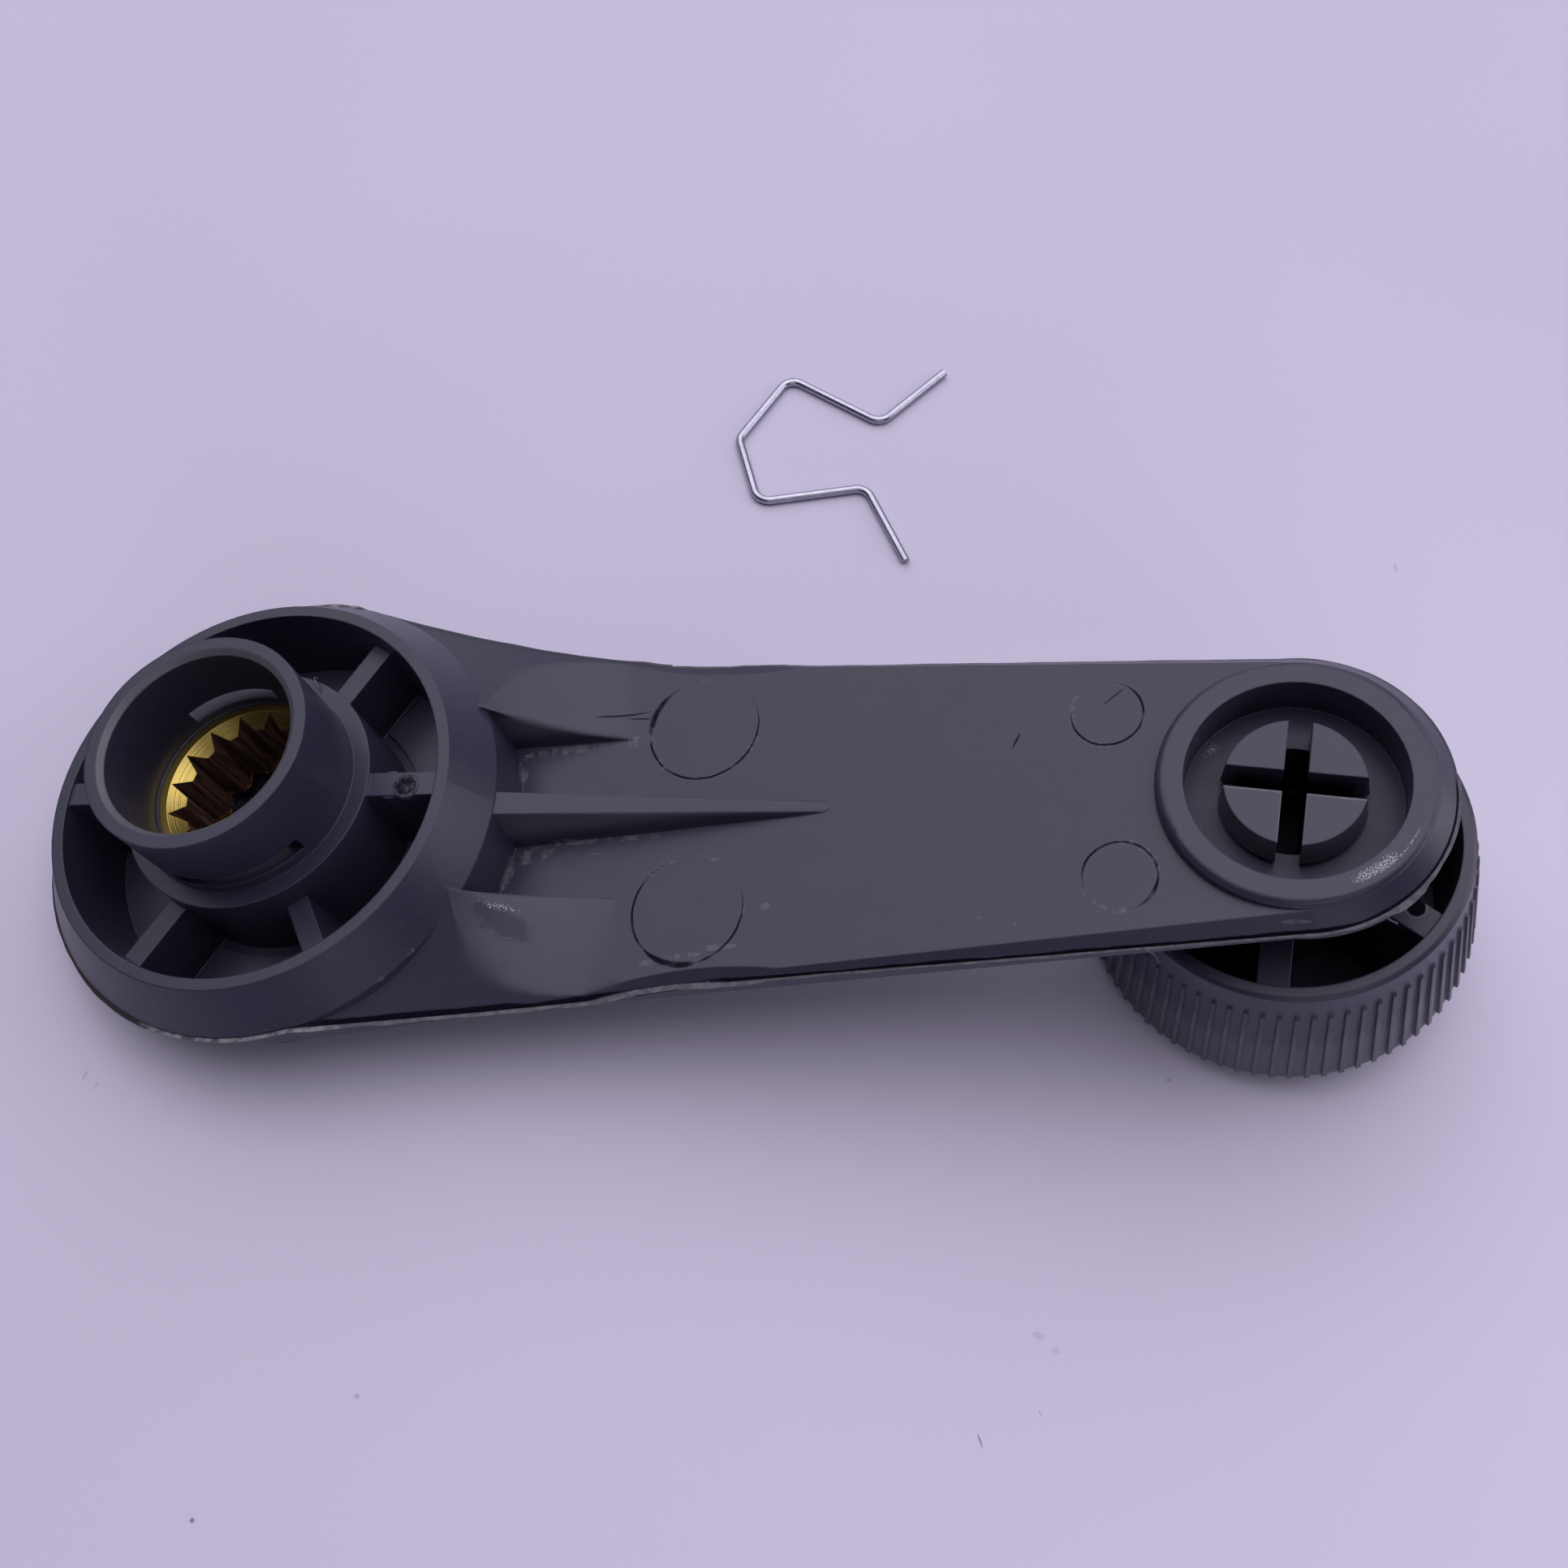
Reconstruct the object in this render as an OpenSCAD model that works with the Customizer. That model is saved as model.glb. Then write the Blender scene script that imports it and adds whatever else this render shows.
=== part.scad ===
// Window crank handle with a free-turning knob, lying face down on a bench beside its wire clip.
// Sizes are in millimetres. Each piece is drawn in the crank's own frame: Z runs along the hub axis
// to the open back, X runs from the hub to the knob, and z = 0 is the lip at the knob end.
// The last modules lay the crank down on the bench, so that +Z is up there.

/* [Arm outline] */
// Distance between the hub axis and the knob axis
centre_distance = 100; // [95:1:106]
// Radius of the hub at its parting line
hub_radius = 24.25; // [24:0.05:25]
// Radius of the round end of the arm, under the knob
end_radius = 13.75; // [13.5:0.05:14.5]
// Angle by which each side of the arm closes in towards the knob
side_taper = 3.66; // [3.3:0.1:4]
// Radius of the hollow sweep that carries each side out to the hub
sweep_radius = 412; // [380:1:440]

/* [Arm back] */
// Height of the arm's flat back at the knob axis
back_height = -0.85; // [-1.2:0.05:-0.6]
// Slope of the flat back, rising towards the knob
back_slope = 3.78; // [3.6:0.05:4]
// Slope of the parting line along the sides
parting_slope = 2.58; // [2.4:0.05:2.8]
// Height of the parting line beside the knob axis
parting_height = -2.63; // [-2.9:0.05:-2.4]
// Inward lean of the side band above the parting line, for each mm of rise
band_lean = 0.8; // [0.6:0.05:0.95]
// Radius of the hollow curve from the hub down to the flat back
shoulder_radius = 26; // [25:0.5:27]
// Reach of that curve from the hub axis
shoulder_reach = 40.8; // [40:0.1:41.5]
// Lowest height of that curve
shoulder_base = -5.3; // [-5.5:0.05:-5.2]
// Place along the arm of the cone that trims each shoulder
trim_place = 43; // [42:0.5:44]
// Distance of that cone's axis from the middle of the arm
trim_offset = 58; // [57.5:0.5:59]
// Outward lean of that cone for each mm of rise
trim_lean = 1.9; // [1.7:0.1:2.1]
// Half width of the pocket between the shoulders, at its floor
pocket_half_width = 8.25; // [7.8:0.05:8.8]
// Sideways place of the pocket's middle
pocket_shift = 0.35; // [0:0.05:0.5]
// Widening of the pocket on each side, from its floor up to the hub's foot
pocket_flare = 1.6; // [1:0.1:2]
// Distance from the hub axis to the thin end of the stiffening rib
spine_end = 57.3; // [54:0.5:60]
// Half width of the rib's top beside the hub
spine_top = 1.25; // [1:0.05:1.5]
// Half width of the rib's foot beside the hub
spine_foot = 2.7; // [2.3:0.1:3]
// Half width of the rib's thin end, at its foot
spine_tip = 0.75; // [0.6:0.05:0.9]
// Sideways place of that thin end
spine_tip_shift = 0.2; // [0:0.05:0.4]

/* [Arm front] */
// Height of the front face on the hub axis, before its dome
front_height = -7.42; // [-7.7:0.02:-7.3]
// Slope of the front face, falling towards the knob
front_slope = 1.57; // [1.4:0.05:1.7]
// Radius of the front face's rounded edge
edge_round = 3.5; // [3:0.1:3.8]
// Angle by which the hub's and the round end's sides lean inward below the parting line
front_lean = 24; // [23.5:0.5:26]
// Angle by which the long sides between them lean inward there
side_lean = 22.5; // [21:0.5:23]
// Height of the upright band under the parting line, on the hub
hub_upright = 0.85; // [0.6:0.05:1.1]
// Height of that band on the round end
end_upright = 1.2; // [0.9:0.1:1.5]
// How far that edge still stands back where the sweep leaves the hub
hub_step = 0.7; // [0.5:0.05:0.9]
// Height of the shallow dome on the hub's front
dome_height = 1.2; // [0.8:0.1:1.4]
// Radius of that dome at its foot
dome_radius = 17; // [15:0.5:18]

/* [Hub cup] */
// Height of the cup's rim
rim_height = 4.81; // [4.6:0.05:5.2]
// Outer radius of the rim
rim_radius = 21.21; // [21:0.05:21.6]
// Wall thickness at the rim
rim_wall = 1.19; // [1:0.05:1.4]
// Height of the cup's outer foot, at the hub's parting line
foot_height = -0.1; // [-0.4:0.05:0.2]
// Height of the groove floor round the sleeve
floor_height = -5.9; // [-6:0.05:-5.6]
// Height of the raised floor pads
pad_height = -5.3; // [-5.5:0.05:-5]
// Inner radius of the pads
pad_radius = 13.9; // [13.6:0.1:14.4]
// Angle left clear beside each rib by the pads
pad_gap = 6.5; // [5:0.5:8]
// Inward draft of the cup's wall over its depth
cup_draft = 0.7; // [0.4:0.1:1]
// Thickness of the two ribs on the arm's middle line
middle_rib_width = 2.5; // [2.2:0.1:2.8]
// Height of the top of those two ribs
middle_rib_top = 4.5; // [4:0.1:4.6]
// Thickness of the four slanting ribs
side_rib_width = 2.25; // [2:0.05:2.5]
// Height of the top of the slanting ribs
side_rib_top = 1.9; // [1:0.1:3]
// Radius of the ejector boss on the rib nearest the knob
boss_radius = 1.5; // [1.3:0.1:1.8]
// Distance of that boss from the hub axis
boss_place = 15.2; // [14.8:0.1:16.5]

/* [Sleeve] */
// Outer radius of the sleeve that goes over the winder's shaft
sleeve_radius = 11.23; // [11:0.05:11.6]
// Height of the sleeve's mouth
sleeve_height = 14.9; // [14:0.1:16]
// Radius of the sleeve's bore
sleeve_bore = 9.5; // [9.2:0.05:9.8]
// Bevel on the inner edge of the mouth
mouth_bevel = 0.5; // [0.3:0.05:0.7]
// Radius of the flange at the sleeve's foot
flange_radius = 12.93; // [12.6:0.05:13.2]
// Height of the flange's top
flange_height = 4.75; // [4.5:0.05:5]
// Height of the lower edge of the clip slots
slot_height = 6.1; // [5.9:0.1:6.6]
// Height of each clip slot along the sleeve
slot_width = 1.8; // [1.6:0.1:2.2]
// Length of each clip slot
slot_length = 12.6; // [12:0.1:13]
// Distance from the hub axis to the bottom of each slot
slot_depth_radius = 8.4; // [8.2:0.05:8.8]
// Turn of the two slots about the hub axis
slot_turn = 15.2; // [10:0.5:20]

/* [Splined insert] */
// Height of the insert's top face
insert_top = 5.05; // [4.8:0.05:5.4]
// Height of the insert's lower face
insert_bottom = -3.8; // [-4.2:0.1:-3.2]
// Outer radius of the insert
insert_radius = 9.3; // [9.1:0.05:9.35]
// Drop of the insert's top below the foot of the plain bore
insert_drop = 0.25; // [0.2:0.05:0.35]
// Radius at the bottom of the grooves
spline_root = 8.45; // [8.2:0.05:8.6]
// Radius at the tips of the teeth
spline_crest = 7.1; // [6.9:0.05:7.3]
// Number of teeth
spline_teeth = 16; // [14:1:18]
// Share of the pitch taken by each tooth's flat tip
spline_land = 0.34; // [0.28:0.02:0.4]
// Turn of the teeth about the hub axis
spline_turn = 7.5; // [0:0.5:22]
// Height of the bevel that leads a shaft into the teeth
lead_in = 1.2; // [0.8:0.1:1.4]
// Radius of the well under the insert
well_radius = 8.75; // [8.65:0.05:9]
// Height of the well's floor
well_floor = -6; // [-6.2:0.1:-5.6]

/* [Knob end of the arm] */
// Inner radius of the lip round the snap post
lip_bore = 9.73; // [9.4:0.05:10]
// Outer radius of the lip
lip_radius = 12.2; // [12.1:0.05:12.6]
// Rounding of the lip's outer edge
lip_round = 0.8; // [0.6:0.05:1]
// Depth of the recess inside the lip
recess_depth = 4.73; // [4.5:0.05:5]
// Radius of the snap post's journal
journal_radius = 5.3; // [5.1:0.05:5.5]
// Running clearance between the journal and the arm, on the radius
journal_clearance = 0.06; // [0.03:0.01:0.1]
// Radius of the bearing pad on the front of the arm
bearing_radius = 7.6; // [7.2:0.1:8]
// Height of that pad's face
bearing_height = -10.9; // [-11:0.05:-10.8]

/* [Knob] */
// Height of the knob's rim, which faces the arm
knob_rim_height = -11.32; // [-11.5:0.02:-11.25]
// Inner radius of the rim
knob_rim_bore = 15.5; // [15.2:0.05:15.7]
// Outer radius of the shoulder under the rim
knob_shoulder = 16.8; // [16.7:0.05:17.1]
// Greatest radius of the grip, near the free end
knob_radius = 18.85; // [18.4:0.05:19.4]
// Height of the knob's closed end
knob_end_height = -28.75; // [-29.2:0.05:-28]
// Bevel round the closed end
knob_bevel = 0.65; // [0.5:0.05:0.8]
// Thickness of the closed end
knob_floor = 2.2; // [1.8:0.1:2.6]
// Number of ridges on the grip
ridge_count = 72; // [60:4:80]
// Width of each ridge
ridge_width = 0.48; // [0.4:0.02:0.6]
// Height of each ridge above the grip
ridge_rise = 0.32; // [0.2:0.02:0.4]
// Distance from the rim down to the ridges' upper ends
ridge_start = 3.3; // [3:0.1:4]
// Radius of the post inside the knob
post_radius = 7.5; // [7:0.1:8]
// Gap between the post's shoulder and the arm
shoulder_gap = 0.3; // [0.25:0.05:0.35]
// Thickness of the ribs inside the knob
knob_rib_width = 2.9; // [2.4:0.1:3.2]
// Drop of those ribs below the rim
knob_rib_drop = 0.5; // [0.3:0.1:1]
// Turn of the knob in the photographed position
knob_turn = -8.4; // [-20:0.2:20]
// Radius of the snap head's top
head_radius = 6.21; // [6:0.05:6.4]
// Radius of the snap head's barb
barb_radius = 6.6; // [6.5:0.05:6.8]
// Height of the snap head's top
head_height = -0.77; // [-1:0.05:-0.5]
// Width of the cross slot that lets the head close up
cross_slot = 2.1; // [1.8:0.1:2.4]
// Depth of the cross slot from the head's top
cross_depth = 13; // [11:0.5:15]

/* [Clip] */
// Radius of the clip's wire
wire_radius = 0.5; // [0.4:0.05:0.6]
// Radius of each bend, on the wire's middle line
bend_radius = 1.8; // [1.5:0.1:2.1]
// Length of the clip from the neck to the peak of its closed end
clip_peak = 16.6; // [15.8:0.2:17.4]
// Sideways place of the peak
clip_peak_shift = -0.9; // [-1.4:0.1:0]
// Length from the neck to the shoulders
clip_shoulder = 12.4; // [11.8:0.1:13]
// Half width at the shoulders
clip_half_width = 9.7; // [9.2:0.1:10.2]
// Half width at the neck
clip_neck = 5; // [4.8:0.1:5.6]
// Reach of the open ends beyond the neck
clip_mouth = 6.5; // [6:0.1:7.4]
// Half width between the open ends
clip_spread = 14.5; // [13.5:0.1:15.5]
// Place of the clip's neck on the bench, along the crank
clip_x = 61.5; // [55:0.5:70]
// Place of the clip's neck on the bench, beside the crank
clip_y = 57.1; // [54:0.5:70]
// Turn of the clip on the bench
clip_turn = -7.5; // [-20:0.5:20]

/* [Hidden] */
$fn = 96;
fine = 720;
reach = 200;
tall = 30;
// Lets an arc that only touches a line cut it cleanly.
blend = 0.05;
fuse = 0.4;
bend_swell = 0.005;
plastic = [0.17, 0.17, 0.21];
brass = [0.72, 0.53, 0.22];
zinc = [0.72, 0.72, 0.76];

// The sweep's arc touches both the straight side and the hub.
sweep_lever = sqrt(pow(hub_radius + sweep_radius, 2)
    - pow(end_radius + sweep_radius + centre_distance * sin(side_taper), 2));
sweep_start = centre_distance * cos(side_taper) - sweep_lever;
function from_side(along, out) = [
    centre_distance + along * cos(side_taper) + out * sin(side_taper),
    out * cos(side_taper) - along * sin(side_taper)
];
sweep_centre = from_side(-sweep_start, end_radius + sweep_radius);
hub_touch = sweep_centre * hub_radius / norm(sweep_centre);
side_touch = from_side(-sweep_start, end_radius - blend);
end_touch = from_side(0, end_radius - blend);
function parting_at(x) = parting_height - (centre_distance - x) * tan(parting_slope);
function front_at(x) = front_height - x * tan(front_slope);
side_turn = -90 - side_taper;
hub_turn = atan2(sweep_centre.y, sweep_centre.x) - 180;

cup_radius = rim_radius - rim_wall;
cup_foot_radius = cup_radius - cup_draft;
pocket_wall = hub_radius + 0.75;
back_at_hub = back_height - centre_distance * tan(back_slope);
function back_at(x) = back_at_hub + x * tan(back_slope);
trim_base = -5.6;
trim_radius = 40;
band_end = 62;
shoulder_centre = shoulder_base + shoulder_radius;
edge_ease = 0.08;
edge_sink = 0.004;

// How far the front's rounded edge stands back, so that the leaning side above it
// comes out to the outline at a given height over the front face.
function edge_inset(height) = edge_ease - edge_round * (1 - cos(front_lean))
    + (height - edge_round * (1 - sin(front_lean))) * tan(front_lean);
hub_inset = edge_inset(foot_height - hub_upright - front_height);
end_inset = edge_inset(parting_height - end_upright - front_at(centre_distance));
sweep_inset = [0, hub_step];
hub_run = 26;
lip_base = -3;
bore_radius = journal_radius + journal_clearance;
rib_gap = 60;

// The crank rests on the hub's rounded edge and on the bevel of the knob's closed end.
rest_radius = hub_radius + edge_ease - edge_round - hub_inset;
rest_x = edge_round * sin(front_slope) - rest_radius * cos(front_slope);
rest_z = front_height + rest_radius * sin(front_slope) + edge_round * cos(front_slope);
corner_x = centre_distance - knob_radius + knob_bevel;
corner_z = knob_end_height;
lie = atan2(rest_z - corner_z, corner_x - rest_x)
    - asin(edge_round / norm([rest_z - corner_z, corner_x - rest_x]));
bore_foot = insert_top + insert_drop;
bore_middle = (bore_foot + sleeve_height - mouth_bevel) / 2;
bench = corner_x * sin(lie) + (corner_z - bore_middle) * cos(lie);

// Lays a piece of the crank down. The middle of the sleeve's bore goes to the origin.
module laid_down() {
    rotate([0, -lie, 0]) translate([0, 0, -bore_middle]) children();
}

// Repeats a piece on both sides of the arm's middle line.
module both_sides() {
    children();
    mirror([0, 1, 0]) children();
}

// Runs a section along X. The section's first axis is Y and its second is Z.
module along_x(length) {
    rotate([90, 0, 90]) linear_extrude(length) children();
}

module at_knob() {
    translate([centre_distance, 0, 0]) children();
}

// The arm's outline from inside the hub to the round end.
module outline() {
    difference() {
        union() {
            at_knob() circle(end_radius);
            both_sides() polygon([[0, -1], 0.5 * hub_touch, 1.02 * hub_touch, side_touch, end_touch, [end_touch.x, -1]]);
        }
        both_sides() translate(sweep_centre) circle(sweep_radius + 2 * blend, $fn = fine);
    }
}

// The front half from its middle out to a rounded lower corner and a leaning side.
module edge_section(radius, lean = front_lean) {
    centre = radius - edge_round;
    low = [centre, edge_round] + (edge_round - edge_sink) * [cos(lean), -sin(lean)];
    polygon([[0, 0], [centre, 0], low, [low.x + (tall - low.y) * tan(lean), tall], [0, tall]]);
    translate([centre, edge_round]) circle(edge_round);
}

// The corners of the front face on one side, from the round end back to the hub.
function front_corner(i) = i == 0 ? from_side(0, end_radius - blend - end_inset)
    : i > len(sweep_inset) ? (hub_radius - hub_inset - 0.25) * [cos(hub_turn + 180 + hub_run), sin(hub_turn + 180 + hub_run)]
    : let (turn = side_turn + (hub_turn - side_turn) * (i + 1) / (len(sweep_inset) + 1))
        sweep_centre + (sweep_radius + 2 * blend + sweep_inset[i - 1]) * [cos(turn), sin(turn)];

// One length of rounded edge between two corners, with the front face inside it.
module edge_run(from, to) {
    overlap = 0.4;
    depth = end_radius;
    step = to - from;
    translate([from.x, from.y, 0]) rotate([0, 0, atan2(step.y, step.x)]) translate([-overlap, 0, 0])
        along_x(norm(step) + 2 * overlap) translate([-depth, 0]) edge_section(depth + edge_ease, side_lean);
}

// The solid over the front face, with its edge rounded all the way round.
module rounded_front() {
    core_half_width = end_radius - edge_round - end_inset;
    translate([0, 0, front_height]) rotate([0, front_slope, 0]) {
        rotate_extrude($fn = fine) edge_section(hub_radius + edge_ease - hub_inset);
        at_knob() rotate_extrude() edge_section(end_radius + edge_ease - end_inset);
        both_sides() for (i = [1 : len(sweep_inset) + 1]) edge_run(front_corner(i), front_corner(i - 1));
        translate([0, -core_half_width, 0]) cube([centre_distance, 2 * core_half_width, tall]);
        hub_dome();
    }
}

module hub_dome() {
    ball = (pow(dome_radius, 2) + pow(dome_height, 2)) / (2 * dome_height);
    intersection() {
        translate([0, 0, ball - dome_height]) rotate([90, 0, 0]) sphere(ball, $fn = fine);
        translate([0, 0, -2 * dome_height]) cylinder(2 * dome_height + edge_round / 5, r = hub_radius - 1);
    }
}

// The hub's solid body, before the cup is hollowed.
module hub_body() {
    rotate_extrude($fn = fine) polygon([
        [0, -tall], [hub_radius, -tall], [hub_radius, foot_height], [rim_radius, rim_height], [0, rim_height]
    ]);
}

module under_back() {
    rotate([90, 0, 0]) linear_extrude(reach, center = true) polygon([
        [0, -tall], [centre_distance + 2 * end_radius, -tall],
        [centre_distance + 2 * end_radius, back_at(centre_distance + 2 * end_radius)], [0, back_at(0)]
    ]);
}

// The hollow curve that comes down from the hub to the arm's back, left out over the pocket.
module shoulders() {
    difference() {
        rotate_extrude($fn = fine) difference() {
            translate([0, -tall]) square([shoulder_reach, tall + rim_height - 2]);
            translate([shoulder_reach, shoulder_centre]) circle(shoulder_radius, $fn = fine);
        }
        difference() {
            translate([0, pocket_shift, 0]) along_x(shoulder_reach + 1) polygon([
                [-pocket_half_width - pocket_flare, foot_height], [-pocket_half_width, back_at_hub],
                [-pocket_half_width, -tall], [pocket_half_width, -tall], [pocket_half_width, back_at_hub],
                [pocket_half_width + pocket_flare, foot_height],
                [pocket_half_width + 2.6 * pocket_flare, tall], [-pocket_half_width - 2.6 * pocket_flare, tall]
            ]);
            rotate_extrude($fn = fine) polygon([
                [0, -tall], [pocket_wall, -tall], [pocket_wall, back_at_hub], [hub_radius, foot_height],
                [0, foot_height]
            ]);
        }
    }
}

// What is taken off above the parting line, so that the sides lean in.
module side_trim() {
    rise = 8;
    below = 1;
    band = [
        [end_radius + below * band_lean, -below], [end_radius - rise * band_lean, rise],
        [end_radius + rise, rise], [end_radius + rise, -below]
    ];
    both_sides() translate([trim_place, trim_offset, trim_base - below])
        cylinder(rise + below, r1 = trim_radius - below * trim_lean, r2 = trim_radius + rise * trim_lean, $fn = fine);
    at_knob() translate([0, 0, parting_height]) rotate([0, -parting_slope, 0]) {
        both_sides() rotate([0, 0, -side_taper]) translate([-band_end, 0, 0])
            along_x(band_end + 0.1) polygon(band);
        intersection() {
            rotate_extrude() polygon(band);
            translate([0, -reach / 2, -below]) cube([reach, reach, rise + below]);
        }
    }
}

// The arm's solid body, with no hollows.
module arm_body() {
    intersection() {
        rounded_front();
        union() {
            hub_body();
            difference() {
                intersection() {
                    translate([0, 0, -tall / 2]) linear_extrude(tall) outline();
                    union() {
                        under_back();
                        shoulders();
                    }
                }
                side_trim();
            }
        }
    }
}

// The rib that stiffens the arm's back, thinning out towards the knob.
module spine() {
    start = cup_radius + 2;
    foot = back_at(start) - fuse;
    end = back_at(spine_end) - fuse;
    hull() {
        translate([start, 0, 0]) along_x(0.1) polygon([
            [-spine_foot, foot], [spine_foot, foot], [spine_top, foot_height], [-spine_top, foot_height]
        ]);
        for (step = [0, 1]) translate([spine_end - 0.6 * (1 - step), spine_tip_shift, 0]) along_x(0.1) polygon([
            [-spine_tip + 0.4 * step, end], [spine_tip - 0.4 * step, end],
            [spine_tip - 0.2 - 0.4 * step, end + fuse + 0.05], [-spine_tip + 0.2 + 0.4 * step, end + fuse + 0.05]
        ]);
    }
}

// One rib of the cup, from the flange to the wall.
module cup_rib(turn, width, top) {
    rotate([0, 0, turn]) translate([flange_radius - fuse, -width / 2, floor_height - fuse])
        cube([cup_radius - flange_radius + fuse + rim_wall / 2, width, top - floor_height + fuse]);
}

module cup_ribs() {
    intersection() {
        union() {
            for (side = [0, 180]) cup_rib(side, middle_rib_width, middle_rib_top);
            for (side = [rib_gap, 2 * rib_gap, 4 * rib_gap, 5 * rib_gap])
                cup_rib(side, side_rib_width, side_rib_top);
            translate([boss_place, 0, floor_height - fuse])
                cylinder(middle_rib_top - 0.15 - floor_height + fuse, r = boss_radius);
        }
        translate([0, 0, -tall / 2]) cylinder(tall, r = cup_radius + rim_wall / 2);
    }
}

// The raised pads on the cup's floor, one between each two ribs.
module cup_pads() {
    for (turn = [0 : rib_gap : 300]) rotate([0, 0, turn]) intersection() {
        translate([0, 0, floor_height - fuse]) difference() {
            cylinder(pad_height - floor_height + fuse, r = cup_radius);
            translate([0, 0, -1]) cylinder(tall, r = pad_radius);
        }
        translate([0, 0, -tall / 2]) linear_extrude(tall) polygon([
            [0, 0], [reach * cos(pad_gap), reach * sin(pad_gap)],
            [reach * cos(rib_gap - pad_gap), reach * sin(rib_gap - pad_gap)]
        ]);
    }
}

// The hollow of the cup. The sleeve stands in its middle.
module cup_hollow() {
    rotate_extrude() polygon([
        [0, floor_height], [cup_foot_radius, floor_height],
        [cup_radius, rim_height], [cup_radius, rim_height + 1], [0, rim_height + 1]
    ]);
}

module sleeve() {
    rotate_extrude() polygon([
        [0, floor_height - fuse], [flange_radius, floor_height - fuse], [flange_radius, flange_height],
        [sleeve_radius, flange_height], [sleeve_radius, sleeve_height], [0, sleeve_height]
    ]);
}

module sleeve_hollow() {
    rotate_extrude() polygon([
        [0, well_floor], [well_radius, well_floor], [well_radius, insert_bottom], [insert_radius, insert_bottom],
        [insert_radius, bore_foot], [sleeve_bore, bore_foot], [sleeve_bore, sleeve_height - mouth_bevel], [sleeve_bore + mouth_bevel, sleeve_height],
        [sleeve_bore + mouth_bevel, sleeve_height + 1], [0, sleeve_height + 1]
    ]);
}

// The two straight slots that the clip's legs pass through.
module clip_slots() {
    rotate([0, 0, slot_turn]) both_sides()
        translate([-slot_length / 2, slot_depth_radius, slot_height])
            cube([slot_length, sleeve_radius, slot_width]);
}

// The lip round the snap post, rounded on its outer edge.
module lip() {
    at_knob() rotate_extrude() difference() {
        union() {
            translate([lip_bore - fuse, lip_base]) square([lip_radius - lip_bore + fuse, -lip_base - lip_round]);
            translate([lip_bore - fuse, lip_base]) square([lip_radius - lip_round - lip_bore + fuse, -lip_base]);
            translate([lip_radius - lip_round, -lip_round]) circle(lip_round);
        }
    }
}

module knob_seat() {
    at_knob() {
        translate([0, 0, -recess_depth]) cylinder(recess_depth + 1, r = lip_bore);
        translate([0, 0, -tall / 2]) cylinder(tall / 2, r = bore_radius);
    }
}

module arm() {
    color(plastic) laid_down() difference() {
        union() {
            difference() {
                arm_body();
                cup_hollow();
            }
            sleeve();
            cup_ribs();
            cup_pads();
            spine();
            lip();
            at_knob() translate([0, 0, bearing_height]) cylinder(fuse + 0.6, r = bearing_radius);
        }
        sleeve_hollow();
        clip_slots();
        knob_seat();
    }
}

// The toothed bore of the insert, seen along its axis.
module spline_bore() {
    pitch = 360 / spline_teeth;
    land = spline_land * pitch / 2;
    polygon([for (tooth = [0 : spline_teeth - 1], part = [0 : 2])
        let (turn = spline_turn + tooth * pitch + [-land, land, pitch / 2][part], radius = part == 2 ? spline_root : spline_crest)
            [radius * cos(turn), radius * sin(turn)]]);
}

lead_slope = (spline_root + 0.1 - spline_crest) / lead_in;

module insert() {
    color(brass) laid_down() difference() {
        translate([0, 0, insert_bottom]) cylinder(insert_top - insert_bottom, r = insert_radius);
        translate([0, 0, insert_bottom - 1]) linear_extrude(insert_top - insert_bottom + 2) spline_bore();
        translate([0, 0, insert_top - 2 * lead_in])
            cylinder(2 * lead_in + fuse, r1 = spline_crest - lead_slope * lead_in,
                r2 = spline_crest + lead_slope * (lead_in + fuse));
    }
}

knob_wall_top = [knob_shoulder, knob_rim_height - 0.4];
knob_wall_foot = [knob_radius, knob_end_height + knob_bevel];
function knob_wall_at(z) = knob_wall_foot.x + (knob_wall_top.x - knob_wall_foot.x)
    * (z - knob_wall_foot.y) / (knob_wall_top.y - knob_wall_foot.y);
post_top = bearing_height - shoulder_gap;
head_base = -recess_depth + shoulder_gap;

module knob_shell() {
    rotate_extrude() polygon([
        [0, knob_end_height], [knob_radius - knob_bevel, knob_end_height], knob_wall_foot, knob_wall_top,
        [knob_shoulder - 0.4, knob_rim_height - 0.08], [knob_rim_bore, knob_rim_height],
        [knob_rim_bore - 0.4, knob_end_height + knob_floor], [0, knob_end_height + knob_floor]
    ]);
}

// The thin ridges of the grip. Each one leans out with the wall and stops above the bevel.
module ridges() {
    width = ridge_width / knob_radius * 180 / PI;
    low = knob_wall_foot + [0, ridge_rise];
    high = [knob_wall_at(knob_rim_height - ridge_start), knob_rim_height - ridge_start];
    for (turn = [0.5 : ridge_count]) rotate([0, 0, turn * 360 / ridge_count])
        rotate_extrude(angle = width) polygon([
            low - [fuse, 0], low + [ridge_rise, 0], high + [ridge_rise, -ridge_rise], high, high - [fuse, 0]
        ]);
}

// The ribs between the post and the shell.
module knob_ribs() {
    for (turn = [30 : 60 : 330]) rotate([0, 0, turn])
        translate([post_radius - fuse, -knob_rib_width / 2, knob_end_height + knob_floor - fuse])
            cube([knob_rim_bore - post_radius + 2 * fuse, knob_rib_width,
                knob_rim_height - knob_rib_drop - knob_end_height - knob_floor + fuse]);
}

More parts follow.
